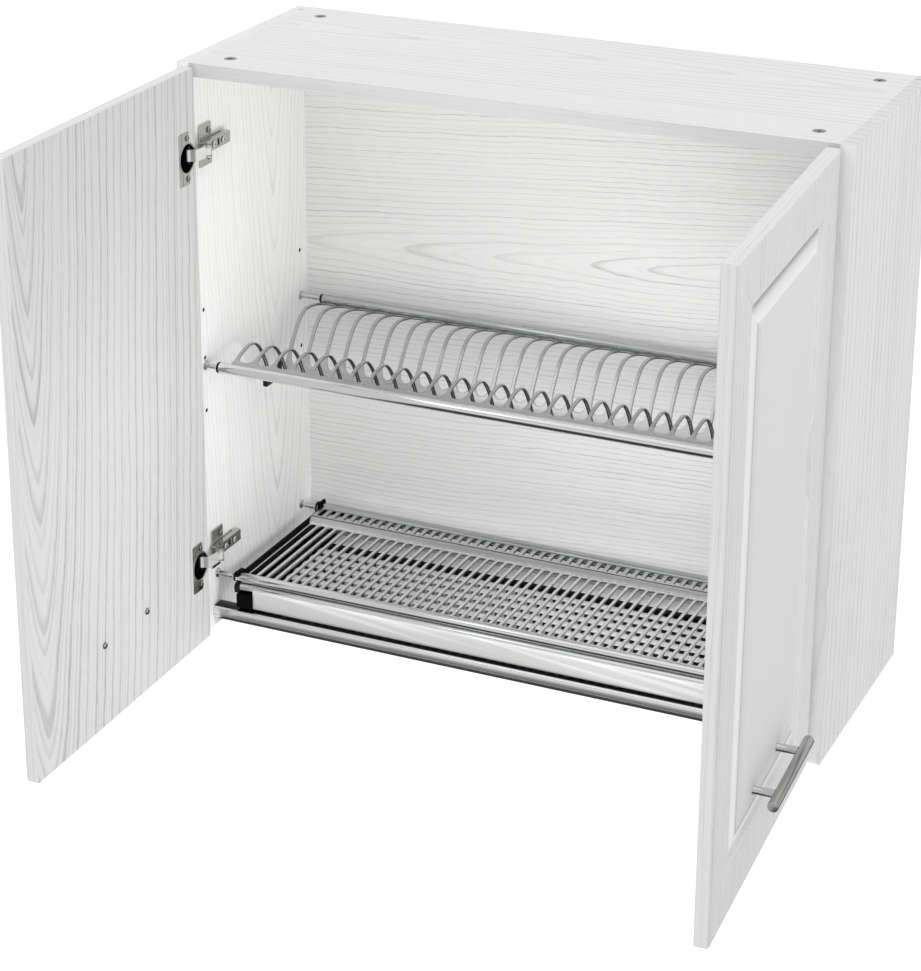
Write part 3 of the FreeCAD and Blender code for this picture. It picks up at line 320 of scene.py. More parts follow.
M["pan_front"] = bright_wall()
M["zinc"] = metal("zinc_plate", (0.62, 0.64, 0.65), 0.26, None, 0.10)
M["cast"] = metal("cast_zinc", (0.42, 0.42, 0.42), 0.45, None, 0.12)
M["handle"] = metal("brushed_bar", (0.36, 0.357, 0.35), 0.12, "x", 0.75, 800.0, 0.20)
M["handle_end"] = metal("bar_turned_end", (0.50, 0.50, 0.49), 0.30, None, 0.10)
M["post"] = metal("turned_post", (0.58, 0.576, 0.565), 0.10, "y", 0.30, 600.0, 0.08)
M["black"] = plastic("black_plastic", (0.006, 0.006, 0.0065), 0.36, 900.0, 0.22)
# near black: painted shade for the walls inside bored holes
M["dark"] = plastic("recess_painted_shade", (0.010, 0.010, 0.010), 0.6)
M["beech"] = plastic("beech_dowel", (0.62, 0.44, 0.26), 0.6)
M["matte_black"] = plastic("black_plastic_matte", (0.003, 0.003, 0.003), 0.6, 900.0, 0.05)
# a darker copy of the steel for the cup rack's rear flange under its tube: painted shade
M["flange"] = metal("stainless_flange", (0.60, 0.61, 0.615), 0.30, "x", 0.03, 600.0, 0.02)
# a darker copy of the tube steel for the rear tubes: painted shade
M["tube_rear"] = metal("stainless_tube_shaded", (0.50, 0.512, 0.52), 0.18, "x", 0.05, 500.0, 0.01)
# near black: painted shade inside the hinge cups
M["cup_in"] = metal("nickel_in_cup", (0.045, 0.045, 0.045), 0.35, None, 0.08)
# a lighter, nearly non-metallic copy of the steel with a faint glow for the tray's ridges: painted light
M["ridge"] = metal("stainless_ridge", (0.90, 0.905, 0.91), 0.32, "x", 0.03, 600.0, 0.02, mix=0.10)
M["ridge"].node_tree.nodes["Principled BSDF"].inputs["Emission Color"].default_value = (1, 1, 1, 1)
M["ridge"].node_tree.nodes["Principled BSDF"].inputs["Emission Strength"].default_value = 0.10


def channel():
    """The floor between the tray's ridges: polished sheet with a painted reflection of the slots above, a row of dark
    spots at the slots' pitch.
    """
    g = Graph("stainless_channel")
    x, y, z = g.sep(g.obj())
    f = g.m("FRACT", g.m("MULTIPLY_ADD", x, 1 / 0.0125, 100.06))
    painted_slot_reflection = g.step(g.m("ABSOLUTE", g.m("SUBTRACT", f, 0.5)), 0.30, 0.39, 1.0, 0.0)
    col = g.mix(painted_slot_reflection, (0.60, 0.605, 0.61, 1), (0.012, 0.012, 0.012, 1))
    g.set(Base_Color=col, Roughness=g.m("MULTIPLY_ADD", painted_slot_reflection, 0.1, 0.28))
    g.bsdf.inputs["Metallic"].default_value = 0.2
    return g.mat


M["channel"] = channel()


# ---------------------------------------------------------------- mesh helpers, in the carcass's millimetres
def build(name, verts, faces, mat, matrix=None, in_mm=True):
    me = bpy.data.meshes.new(name)
    me.from_pydata([P(*v) if in_mm else v for v in verts], [], faces)
    me.update()
    o = bpy.data.objects.new(name, me)
    bpy.context.scene.collection.objects.link(o)
    me.materials.append(M[mat])
    if matrix is not None:
        o.matrix_world = matrix
    return o


def modifier(o, kind, **kw):
    m = o.modifiers.new(kind.lower(), kind)
    for k, v in kw.items():
        setattr(m, k, v)
    return m


def apply_all(o):
    """Turns an object's modifiers into mesh."""
    bpy.context.view_layer.update()
    me = bpy.data.meshes.new_from_object(o.evaluated_get(bpy.context.evaluated_depsgraph_get()))
    o.modifiers.clear()
    o.data = me
    return o


def shade(o, angle=35.0, weighted=True):
    for p in o.data.polygons:
        p.use_smooth = True
    o.data.set_sharp_from_angle(angle=math.radians(angle))
    if weighted:
        modifier(o, "WEIGHTED_NORMAL", keep_sharp=True)
        apply_all(o)
    return o


def outward(o):
    bm = bmesh.new()
    bm.from_mesh(o.data)
    bmesh.ops.recalc_face_normals(bm, faces=bm.faces)
    bm.to_mesh(o.data)
    bm.free()
    return o


def done(o, body, slot, *nodes):
    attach(o, body)
    if nodes:
        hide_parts(*nodes)
    return o


def join(name, objs):
    """One object of several that share a matrix; each keeps its material."""
    bm = bmesh.new()
    mats = []
    for o in objs:
        for m in o.data.materials:
            if m not in mats:
                mats.append(m)
        n0 = len(bm.faces)
        me = o.data
        index = [mats.index(m) for m in me.materials]
        for p in me.polygons:
            p.material_index = index[p.material_index] if index else 0
        bm.from_mesh(me)
    me = bpy.data.meshes.new(name)
    bm.to_mesh(me)
    bm.free()
    for m in mats:
        me.materials.append(m)
    out = bpy.data.objects.new(name, me)
    bpy.context.scene.collection.objects.link(out)
    out.matrix_world = objs[0].matrix_world.copy()
    for o in objs:
        bpy.data.objects.remove(o)
    return out


def lathe(name, axis, profile, p, q, mat, n=48, matrix=None, close=True):
    """Turned piece: profile is a list of (position along the axis, radius); p and q are the other two coordinates."""
    verts, faces = [], []
    rings = []
    for a, r in profile:
        if r < 1e-6:
            rings.append([len(verts)])
            c = {"x": (a, p, q), "y": (p, a, q), "z": (p, q, a)}[axis]
            verts.append(c)
            continue
        ring = []
        for i in range(n):
            t = 2 * math.pi * i / n
            c, s = r * math.cos(t), r * math.sin(t)
            ring.append(len(verts))
            verts.append({"x": (a, p + c, q + s), "y": (p + c, a, q + s), "z": (p + c, q + s, a)}[axis])
        rings.append(ring)
    pairs = list(zip(rings, rings[1:]))
    if close and len(rings[0]) > 1 and len(rings[-1]) > 1:
        pairs.append((rings[-1], rings[0]))
    for r0, r1 in pairs:
        for i in range(n):
            j = (i + 1) % n
            if len(r0) == 1:
                faces.append((r0[0], r1[i], r1[j]))
            elif len(r1) == 1:
                faces.append((r0[i], r0[j], r1[0]))
            else:
                faces.append((r0[i], r0[j], r1[j], r1[i]))
    return outward(build(name, verts, faces, mat, matrix))


def rod_profile(a0, a1, r, c=0.4):
    """Solid rod with rounded ends."""
    k = 0.3 * c
    return [(a0, 0.0), (a0, r - c), (a0 + k, r - k), (a0 + c, r), (a1 - c, r), (a1 - k, r - k), (a1, r - c), (a1, 0.0)]


def tube_profile(a0, a1, r, wall=0.8, deep=30.0):
    """Hollow tube, modelled inside as far as one can look, with rolled ends."""
    ri = r - wall
    w = wall / 2
    return [
        (a0 + deep, 0.0), (a0 + deep, ri), (a0 + w, ri), (a0 + 0.12 * wall, ri + 0.15 * wall), (a0, r - w), (a0 + 0.12 * wall, r - 0.15 * wall), (a0 + w, r),
        (a1 - w, r), (a1 - 0.12 * wall, r - 0.15 * wall), (a1, r - w), (a1 - 0.12 * wall, ri + 0.15 * wall), (a1 - w, ri), (a1 - deep, ri), (a1 - deep, 0.0),
    ]


def prism(name, outline, axis, a0, a1, mat, matrix=None):
    """A flat outline, given in the two other coordinates, drawn out along one axis."""
    n = len(outline)
    mk = {"x": lambda a, p: (a, p[0], p[1]), "y": lambda a, p: (p[0], a, p[1]), "z": lambda a, p: (p[0], p[1], a)}[axis]
    verts = [mk(a0, p) for p in outline] + [mk(a1, p) for p in outline]
    faces = [tuple(range(n)), tuple(range(2 * n - 1, n - 1, -1))] + [(i, (i + 1) % n, n + (i + 1) % n, n + i) for i in range(n)]
    return outward(build(name, verts, faces, mat, matrix))


def rounded(x0, y0, x1, y1, r, k=6):
    """Rounded rectangle outline, counter-clockwise, always 4 * (k + 1) points."""
    out = []
    for cx, cy, a in ((x1 - r, y1 - r, 0), (x0 + r, y1 - r, 90), (x0 + r, y0 + r, 180), (x1 - r, y0 + r, 270)):
        for i in range(k + 1):
            t = math.radians(a + 90.0 * i / k)
            out.append((cx + r * math.cos(t), cy + r * math.sin(t)))
    return out


def cut(o, *cutters):
    for c in cutters:
        m = modifier(o, "BOOLEAN", operation="DIFFERENCE", object=c, solver="EXACT")
    apply_all(o)
    for c in cutters:
        bpy.data.objects.remove(c)
    return o


def bevel(o, width, seg=2, angle=35.0):
    modifier(o, "BEVEL", width=width * MM, segments=seg, limit_method="ANGLE", angle_limit=math.radians(angle), use_clamp_overlap=True)
    return apply_all(o)


def finished(node, mat, width=0.3, seg=2, local=None, angle=38.0, name=None):
    """A CAD node's own shape with its edges broken, in the local place of a moving piece when one is given."""
    me = NODES[node].data.copy()
    if local is not None:
        me.transform(local.inverted())
    bm = bmesh.new()
    bm.from_mesh(me)
    bmesh.ops.remove_doubles(bm, verts=bm.verts, dist=2e-6)
    bmesh.ops.dissolve_limit(bm, angle_limit=math.radians(0.5), verts=bm.verts, edges=bm.edges)
    bm.to_mesh(me)
    bm.free()
    me.materials.clear()
    me.materials.append(M[mat])
    o = bpy.data.objects.new(name or node + "_finished", me)
    bpy.context.scene.collection.objects.link(o)
    if local is not None:
        o.matrix_world = local
    if width:
        bevel(o, width, seg, angle)
    return shade(o, angle)


def mirror_x(pts):
    return [(800.0 - x, y) for x, y in pts][::-1]


# ---------------------------------------------------------------- carcass boards: edges broken under the film
for n, mat in (("side_panel_left", "side_left"), ("side_panel_right", "side_right"), ("top_panel", "top"), ("back_panel", "back")):
    o = finished(n, mat, 0.5 if n != "back_panel" else 0.25)
    if n.startswith("side_panel"):
        # painted shade inside the bored holes: their walls are drawn near black
        o.data.materials.append(M["dark"])
    # the top board's front edge takes the edge film, drawn darker where the front lamps light it hardest: painted shade
    if n == "top_panel":
        o.data.materials.append(M["edge_front"])
        for p in o.data.polygons:
            if p.normal.y < -0.6:
                p.material_index = 1
    # the small faces inside the bored holes take the painted shade
    if n.startswith("side_panel"):
        for p in o.data.polygons:
            x, y, z = p.center.x * 1000 + 400, p.center.y * 1000 + 300, p.center.z * 1000 + 680
            if 1.0 < (x if x < 400 else 800 - x) < 15.2 and 4.0 < y < 296.0 and 4.0 < z < 716.0 and p.area < 3e-5:
                p.material_index = 1
    done(o, "cabinet", "board_film" if n != "back_panel" else "back_board", n)
done(finished("rear_batten", "batten", 0.5), "cabinet", "batten_board", "rear_batten")


# ---------------------------------------------------------------- doors
def door(side):
    x0 = 1.5 if side == "left" else 401.5
    x1, z0, z1 = x0 + 397.0, 2.0, 718.0
    rings = [(0.8, -2.0, 1.2), (0.2, -2.25, 1.5), (0.0, -2.9, 1.6), (0.0, -15.2, 1.6)]
    for a in (18, 36, 54, 72, 90):
        t = math.radians(a)
        rings.append((2.8 - 2.8 * math.cos(t), -15.2 - 2.8 * math.sin(t), 1.6 + 1.2 * math.sin(t)))
    rings += [
        (30.0, -18.0, 4.0), (58.6, -18.0, 7.4), (59.2, -17.93, 6.8), (59.75, -17.6, 6.3), (60.0, -17.0, 6.0), (60.3, -14.0, 5.7), (60.7, -12.9, 5.3),
        (61.6, -12.5, 4.4), (62.8, -12.6, 3.2), (64.5, -13.1, 1.6), (66.5, -13.75, 0.8), (69.0, -14.32, 0.75), (72.0, -15.0, 0.7), (75.0, -15.68, 0.65), (78.0, -16.35, 0.6),
        (81.0, -17.02, 0.55), (83.6, -17.6, 0.5), (84.6, -17.88, 0.5),
        (85.6, -17.98, 0.5), (87.0, -18.0, 0.5), (110.0, -18.0, 0.5),
    ]
    verts, faces, k = [], [], 28
    for d, y, r in rings:
        verts += [(p[0], y, p[1]) for p in rounded(x0 + d, z0 + d, x1 - d, z1 - d, r)]
    painted_light = []
    for i in range(len(rings) - 1):
        d = (rings[i][0] + rings[i + 1][0]) / 2
        for j in range(k):
            a, b = i * k + j, i * k + (j + 1) % k
            faces.append((a, b, b + k, a + k))
            # the edges are wrapped with the film's plainer stripes, on film copies drawn darker on the side edges and
            # lighter on the top edge: painted shade and painted light
            painted_light.append(0 if d >= 3.0 or i == 0 else (2 if 3 <= j <= 9 else 1))
    faces.append(tuple(range(k))[::-1])
    n = (len(rings) - 1) * k
    faces.append(tuple(range(n, n + k)))
    o = build("door_%s_leaf" % side, verts, faces, "door_" + side, DOOR[side])
    for m in ("edge_" + side, "edge_top"):
        o.data.materials.append(M[m])
    for p, t in zip(o.data.polygons, painted_light):
        p.material_index = t
    outward(o)
    cx = 22.0 if side == "left" else 778.0
    cutters = [lathe("c", "y", [(-14.6, 0), (-14.6, 17.5), (0.0, 17.5), (0.0, 0)], cx, z, "dark", 64, DOOR[side]) for z in (104.0, 616.0)]
    hx = (152.0, 248.0) if side == "left" else (648.0, 552.0)
    cutters += [lathe("c", "y", [(-20, 0), (-20, 2.3), (0.0, 2.3), (0.0, 0)], x, 102.0, "dark", 24, DOOR[side]) for x in hx]
    cut(o, *cutters)
    shade(o, 30.0)
    # painted shade and painted highlight across the milled border: painted shade in its upper corner, painted highlight
    # on the slopes, a thin painted shade line at the field
    painted_light_table = {
        "up": [(59.6, 1.0), (60.3, 0.6), (61.6, 0.34), (64.5, 0.36), (66.5, 0.50), (69.0, 0.74), (72.0, 1.0), (75.0, 1.35), (81.0, 1.75), (84.6, 1.85), (86.0, 1.0)],
        "hinge": [(59.6, 1.0), (60.3, 1.25), (61.6, 1.45), (75.0, 1.5), (83.6, 1.7), (86.0, 1.0)],
        "free": [(59.6, 1.0), (61.6, 1.0), (66.5, 1.35), (78.0, 1.55), (81.0, 1.3), (83.6, 0.9), (84.6, 0.62), (85.6, 0.72), (87.5, 1.0)],
        "down": [(59.2, 1.0), (60.0, 1.5), (62.8, 1.15), (69.0, 1.4), (78.0, 1.5), (81.0, 1.2), (83.6, 0.78), (84.6, 0.50), (85.6, 0.60), (87.5, 1.0)],
    }
    painted_light = o.data.attributes.new("painted_light", "FLOAT", "POINT")
    for i, v in enumerate(o.data.vertices):
        x, y, z = v.co.x * 1000 + 400, v.co.y * 1000 + 300, v.co.z * 1000 + 680
        near, far = x - x0, x1 - x
        d = {"up": z1 - z, "down": z - z0, "hinge": near if side == "left" else far, "free": far if side == "left" else near}
        m = min(d.values())
        val, n = 0.0, 0
        for key, a in d.items():
            if a < m + 0.2:
                t = painted_light_table[key]
                f = t[0][1] if a <= t[0][0] else t[-1][1]
                for (a0, f0), (a1, f1) in zip(t, t[1:]):
                    if a0 <= a <= a1:
                        f = f0 + (f1 - f0) * (a - a0) / (a1 - a0)
                val, n = val + f, n + 1
        painted_light.data[i].value = val / n if y < -12.0 else 1.0
    return done(o, side + "_door", "door_film", "door_" + side)


for side in SIDES:
    door(side)


# ---------------------------------------------------------------- stamped racks
def smooth_profile(pts):
    """z and slope of a smooth line through the points, as a function of y."""
    n = len(pts)
    tan = []
    for i in range(n):
        a, b = pts[max(i - 1, 0)], pts[min(i + 1, n - 1)]
        tan.append((b[1] - a[1]) / (b[0] - a[0]))

    def f(y):
        i = 0
        while i < n - 2 and y > pts[i + 1][0]:
            i += 1
        (ya, za), (yb, zb) = pts[i], pts[i + 1]
        h = yb - ya
        t = (y - ya) / h
        h00, h10, h01, h11 = 2 * t**3 - 3 * t**2 + 1, t**3 - 2 * t**2 + t, -2 * t**3 + 3 * t**2, t**3 - t**2
        z = h00 * za + h10 * h * tan[i] + h01 * zb + h11 * h * tan[i + 1]
        d00, d10, d01, d11 = 6 * t**2 - 6 * t, 3 * t**2 - 4 * t + 1, -6 * t**2 + 6 * t, 3 * t**2 - 2 * t
        s = (d00 * za + d01 * zb) / h + d10 * tan[i] + d11 * tan[i + 1]
        return z, s

    return f


def rows(a, b, step):
    n = max(1, int(round((b - a) / step)))
    return [a + (b - a) * i / n for i in range(n)]


def stamped(name, mat, prof, x_first, pitch, count, cols, slots, y0, y1, step, lift, thick, lips, matrix=None, sub=1, lip_mat="steel_painted_shade"):
    """A bent sheet with rows of slots between ribbons. cols are the places across one pitch, from a ribbon's middle to the
    next one's. Each slot is (y_start, y_end, across_start, across_end, round_start, round_end); its ends are rounded, and
    its edges are turned down by lips."""
    f = smooth_profile(prof)
    marks = [y0]
    zones = []
    for s in slots:
        ya, yb, ta, tb, rd, re = s
        zones.append((ya - 2.0, ya + rd, "start", s))
        zones.append((ya + rd, yb - re, "open", s))
        zones.append((yb - re, min(yb + 2.0, y1 - 0.3), "end", s))
    ys, at = [], []
    y = y0
    for za, zb, kind, s in zones:
        if za > y + 1e-6:
            for r in rows(y, za, step):
                ys.append(r)
                at.append((None, None))
        for r in rows(za, zb, step if kind == "open" else (zb - za) / 4.0):
            ys.append(r)
            at.append((kind, s))
        y = zb
    for r in rows(y, y1, step) + [y1]:
        ys.append(r)
        at.append((None, None))
    # at[i] describes the strip of faces between row i and row i + 1
    xs, off = [], []
    for i in range(count - 1):
        for t in cols[:-1]:
            xs.append(x_first + i * pitch + t)
            off.append(t)
    xs.append(x_first + (count - 1) * pitch)
    off.append(0.0)
    half = [t for t in cols if t < pitch / 2 and t <= slots[0][2] + 1e-6]
    left = [(x_first - t, -t) for t in half[::-1] if t > 0]
    right = [(x_first + (count - 1) * pitch + t, -t) for t in half if t > 0]
    xs = [a for a, b in left] + xs + [a for a, b in right]
    off = [b for a, b in left] + off + [b for a, b in right]

    def edge(s, t, start):
        ya, yb, ta, tb, rd, re = s
        c, hw = (ta + tb) / 2, (tb - ta) / 2
        k = 1.0 - math.sqrt(max(0.0, 1.0 - ((t - c) / hw) ** 2))
        return ya + rd * k if start else yb - re * k

    verts, index = [], {}

    def vert(ix, iy):
        if (ix, iy) not in index:
            y = ys[iy]
            t = off[ix]
            # a row inside a rounded end is squeezed up to the slot's edge
            for j in (iy - 1, iy):
                if 0 <= j < len(at) and at[j][0] in ("start", "end"):
                    kind, s = at[j]
                    ya, yb, ta, tb, rd, re = s
                    if ta - 1e-6 <= t <= tb + 1e-6:
                        if kind == "start":
                            a, b = ya - 2.0, ya + rd
                            y = a + (ys[iy] - a) * (edge(s, t, True) - a) / (b - a)
                        else:
                            a, b = min(yb + 2.0, y1 - 0.3), yb - re
                            y = a + (ys[iy] - a) * (edge(s, t, False) - a) / (b - a)
                        break
            z, d = f(y)
            n = math.hypot(1.0, d)
            index[(ix, iy)] = len(verts)
            verts.append((xs[ix], y - lift * d / n, z + lift / n))
        return index[(ix, iy)]

    faces = []
    for iy in range(len(ys) - 1):
        kind, s = at[iy]
        for ix in range(len(xs) - 1):
            if kind == "open":
                a, b = off[ix], off[ix + 1]
                if b == 0.0 and a > 0:
                    b = pitch
                m = (a + b) / 2 if a >= 0 and b >= 0 else -1
                if s[2] < m < s[3]:
                    continue
            faces.append((vert(ix, iy), vert(ix + 1, iy), vert(ix + 1, iy + 1), vert(ix, iy + 1)))
    o = build(name, verts, faces, mat, matrix)
    bm = bmesh.new()
    bm.from_mesh(o.data)
    bmesh.ops.recalc_face_normals(bm, faces=bm.faces)
    if sum(fc.normal.z for fc in bm.faces) < 0:
        bmesh.ops.reverse_faces(bm, faces=bm.faces)
    bm.normal_update()
    if lips:
        base = P(0, 0, 0)
        ymin, ymax = P(0, y0 - 3.0, 0).y, P(0, y1 + 3.0, 0).y
        edges = []
        for e in bm.edges:
            if len(e.link_faces) == 1:
                m = (e.verts[0].co + e.verts[1].co) / 2
                yy = m.y * 1000 + 300
                if y0 + 2.0 < yy < y1 - 1.5:
                    edges.append(e)
        normal = {v: v.normal.copy() for e in edges for v in e.verts}
        o.data.materials.append(M[lip_mat])
        for d in lips:
            r = bmesh.ops.extrude_edge_only(bm, edges=edges)
            new_e = [g for g in r["geom"] if isinstance(g, bmesh.types.BMEdge)]
            new_v = [g for g in r["geom"] if isinstance(g, bmesh.types.BMVert)]
            # the lower band of the lips takes the near-black steel: painted shade
            if d != lips[0] or len(lips) == 1:
                for g in r["geom"]:
                    if isinstance(g, bmesh.types.BMFace):
                        g.material_index = 1
            nn = {}
            for v in new_v:
                src = None
                for e in v.link_edges:
                    w = e.other_vert(v)
                    if w in normal and w not in new_v:
                        src = w
                        break
                nv = normal[src]
                v.co -= nv * d * MM
                nn[v] = nv
            normal = nn
            edges = new_e
    bm.to_mesh(o.data)
    bm.free()
    modifier(o, "SOLIDIFY", thickness=thick * MM, offset=0.0, use_even_offset=True, use_quality_normals=True)
    if sub:
        modifier(o, "SUBSURF", levels=sub, render_levels=sub)
    apply_all(o)
    for p in o.data.polygons:
        p.use_smooth = True
    return o


UFY, UFZ = 17.0, 346.0
prof = [
    (UFY + 4.0, UFZ + 3.9), (UFY + 9, UFZ + 5.5), (UFY + 15, UFZ + 6.3), (UFY + 24, UFZ + 10.2), (UFY + 38, UFZ + 14.2), (UFY + 52, UFZ + 15.1),
    (UFY + 66, UFZ + 10), (UFY + 80, UFZ - 6), (UFY + 91, UFZ - 27), (UFY + 99, UFZ - 43), (UFY + 105, UFZ - 50), (UFY + 112, UFZ - 52.5),
    (UFY + 126, UFZ - 52.5), (UFY + 134, UFZ - 49), (UFY + 143, UFZ - 38), (UFY + 151, UFZ - 27), (UFY + 164, UFZ - 8), (UFY + 178, UFZ + 7),
    (UFY + 192, UFZ + 13.2), (UFY + 206, UFZ + 13.4), (UFY + 218, UFZ + 11.2), (246.0, 354.4), (254.0, 352.3), (258.0, 352.0),
]
o = stamped(
    "plate_rack_ribbons", "steel", prof, 50.0, 25.0, 29,
    [0.0, 1.0, 1.8, 2.9, 5.1, 8.5, 12.5, 16.5, 19.9, 22.1, 23.2, 24.0, 25.0],
    [(28.0, 120.0, 1.8, 23.2, 10.7, 10.7), (157.5, 254.8, 1.8, 23.2, 10.7, 6.0)], 21.0, 257.8, 3.0, 0.5, 0.9, (0.7, 1.3),
)
done(o, "cabinet", "stainless", "plate_rack_sheet")

prof = [(35.6, 65.0), (45.0, 65.0), (100.0, 65.0), (205.0, 65.0), (212.5, 65.2), (215.0, 66.6), (217.6, 70.4), (220.0, 71.7), (225.0, 71.9), (240.0, 72.0), (246.8, 72.0)]
o = stamped(
    "cup_rack_ribs", "rib", prof, 50.0, 12.5, 57,
    [0.0, 0.8, 1.5, 2.3, 3.6, 4.8, 6.25, 7.7, 8.9, 10.2, 11.0, 11.7, 12.5],
    [(45.0, 212.0, 1.5, 11.0, 3.0, 3.0), (225.0, 245.6, 2.3, 10.2, 2.0, 0.8)], 35.8, 246.8, 6.0, 0.5, 0.9, (0.8, 2.6),
)
# painted shade on the cup rack: a near-black line at the bend up to the rear flange and on the sheet's rear edge under
# the tube, and the darker flange steel from the bend back; the lips up to the bend keep the plain steel
for m in ("flange", "steel"):
    o.data.materials.append(M[m])
for p in o.data.polygons:
    y = p.center.y * 1000 + 300
    if p.material_index == 0:
        if 219.4 < y < 221.4 or y > 245.6:
            p.material_index = 1
        elif y > 221.4 or y > 214.5:
            p.material_index = 2
        elif y > 212.6:
            p.material_index = 0
    elif y < 216.0:
        p.material_index = 3
done(o, "cabinet", "stainless", "cup_rack_sheet")

# tubes with rolled ends, their black rings and the pins that carry them
for name, x0, y, z, r in (
    ("plate_rack_front_tube", 36.5, 17.0, 346.0, 6.5), ("plate_rack_rear_tube", 48.0, 262.0, 356.0, 5.5),
    ("cup_rack_front_tube", 44.0, 31.0, 68.0, 6.0), ("cup_rack_rear_tube", 42.0, 254.0, 70.0, 7.5),
):
    # the rear tubes take the darker tube steel: painted shade
    o = lathe(name + "_drawn", "x", tube_profile(x0, 800.0 - x0, r), y, z, "tube_rear" if "rear" in name else "tube", 64)
    done(shade(o, 40.0, False), "cabinet", "stainless", name)
pins, rings = [], []
for side in SIDES:
    m = (lambda x: x) if side == "left" else (lambda x: 800.0 - x)
    for y, z, r, xs in ((17.0, 346.0, 6.5, 33.5), (262.0, 356.0, 5.5, 45.0), (31.0, 68.0, 6.0, 41.0), (254.0, 70.0, 7.5, 39.0)):
        pr = [(5.5, 0.0), (5.5, 2.0), (6.0, 2.4), (16.0, 2.4), (16.0, 5.4), (16.3, 5.85), (16.8, 6.0), (17.3, 5.85), (17.8, 5.2), (18.2, 4.2), (18.8, 3.5), (19.8, 3.0), (xs - 4.0, 3.0), (xs - 3.6, 2.7), (xs - 3.0, 2.7), (xs - 2.6, 3.0), (xs + 13.5, 3.0), (xs + 14.0, 2.5), (xs + 14.0, 0.0)]
        pins.append(lathe("p", "x", [(m(a), b) for a, b in pr], y, z, "zinc", 36))
        ro, ri = r + 0.25, r - 0.82
        pr = [(xs, 3.05), (xs, ro - 0.7), (xs + 0.25, ro - 0.2), (xs + 0.8, ro), (xs + 2.4, ro), (xs + 2.85, ro - 0.15), (xs + 3.0, ro - 0.5), (xs + 3.0, ri), (xs + 8.6, ri), (xs + 9.0, ri - 0.4), (xs + 9.0, 3.05)]
        rings.append(lathe("r", "x", [(m(a), b) for a, b in pr], y, z, "black", 48))
done(shade(join("rack_pins_turned", pins), 40.0, False), "cabinet", "zinc_steel", "rack_pins")
done(shade(join("rack_tube_end_rings", rings), 40.0, False), "cabinet", "black_plastic", "rack_tube_rings")
done(finished("plate_rack_clips", "black", 0.8, 3), "cabinet", "black_plastic", "plate_rack_clips")
for side in SIDES:
    n = "cup_rack_bracket_" + side
    done(finished(n, "matte_black", 0.7, 3), "cabinet", "black_plastic", n)

# ---------------------------------------------------------------- drip tray
# the front wall hangs a little under the floor and is hemmed back up to it
path = [(24.9, 56.4), (24.9, 52.0), (24.9, 34.0), (25.1, 32.0), (25.8, 30.6), (27.0, 30.0), (28.2, 30.2), (29.0, 31.2), (29.3, 33.0), (29.3, 36.6), (30.2, 37.7)]
y = 31.0
while y + 21.0 < 203.0:
    path += [(y + 1.6, 37.7), (y + 2.4, 38.6), (y + 3.4, 43.4), (y + 4.6, 44.3), (y + 9.0, 44.6), (y + 13.4, 44.3), (y + 14.6, 43.4), (y + 15.6, 38.6), (y + 16.4, 37.7), (y + 19.5, 37.7)]
    y += 21.0
path += [(206.0, 37.7), (213.2, 37.7), (214.0, 38.6), (215.2, 42.4), (216.6, 43.4), (226.0, 43.8), (235.5, 44.0), (237.8, 44.4), (239.0, 45.4), (239.5, 47.4), (239.5, 50.0), (239.5, 56.4)]
xs = [68.5, 72.0, 76.0, 120.0, 400.0, 680.0, 724.0, 728.0, 731.5]
verts = [(x, a, b) for x in xs for a, b in path]
k = len(path)
faces = [(i * k + j, (i + 1) * k + j, (i + 1) * k + j + 1, i * k + j + 1) for i in range(len(xs) - 1) for j in range(k - 1)]
for i, flip in ((0, False), (len(xs) - 1, True)):
    # end walls close the pan under its rim
    base = i * k
    top = len(verts)
    verts += [(xs[i], a, 56.4) for a, b in path]
    for j in range(k - 1):
        if abs(path[j][0] - path[j + 1][0]) > 1e-6:
            faces.append((base + j, base + j + 1, top + j + 1, top + j))
o = build("tray_pan_pressed", verts, faces, "pan")
bm = bmesh.new()
bm.from_mesh(o.data)
bmesh.ops.remove_doubles(bm, verts=bm.verts, dist=1e-6)
bmesh.ops.recalc_face_normals(bm, faces=bm.faces)
bm.to_mesh(o.data)
bm.free()
o.data.materials.append(M["pan_front"])
o.data.materials.append(M["pan_deep"])
o.data.materials.append(M["ridge"])
o.data.materials.append(M["channel"])
# the pan's faces take painted light: painted reflection on the front wall, painted shade at the ends and in the last
# valley, lighter glowing ridges, painted slot reflections in the channels
for p in o.data.polygons:
    c = p.center
    cy, cz = c.y * 1000 + 300, c.z * 1000 + 680
    if cy < 27.5:
        p.material_index = 1
    elif abs(c.x) * 1000 > 326.0 or (cz < 42.0 and 196.0 < cy < 215.5):
        p.material_index = 2
    elif cz < 42.5 and 29.0 < cy < 215.5:
        p.material_index = 4
    elif 29.0 < cy < 238.0:
        p.material_index = 3
modifier(o, "SOLIDIFY", thickness=0.8 * MM, offset=0.0, use_even_offset=True)
bevel(o, 0.25, 2, 50.0)
done(shade(o, 40.0, False), "drip_tray", "stainless", "tray_pan")
o = lathe("tray_front_rail_drawn", "x", tube_profile(50.0, 750.0, 5.5), 30.0, 55.8, "tube", 64)
done(shade(o, 40.0, False), "drip_tray", "stainless", "tray_front_rail")
for side in SIDES:
    n = "tray_side_rail_" + side
    done(finished(n, "matte_black", 0.7, 3), "drip_tray", "black_plastic", n)
caps = []
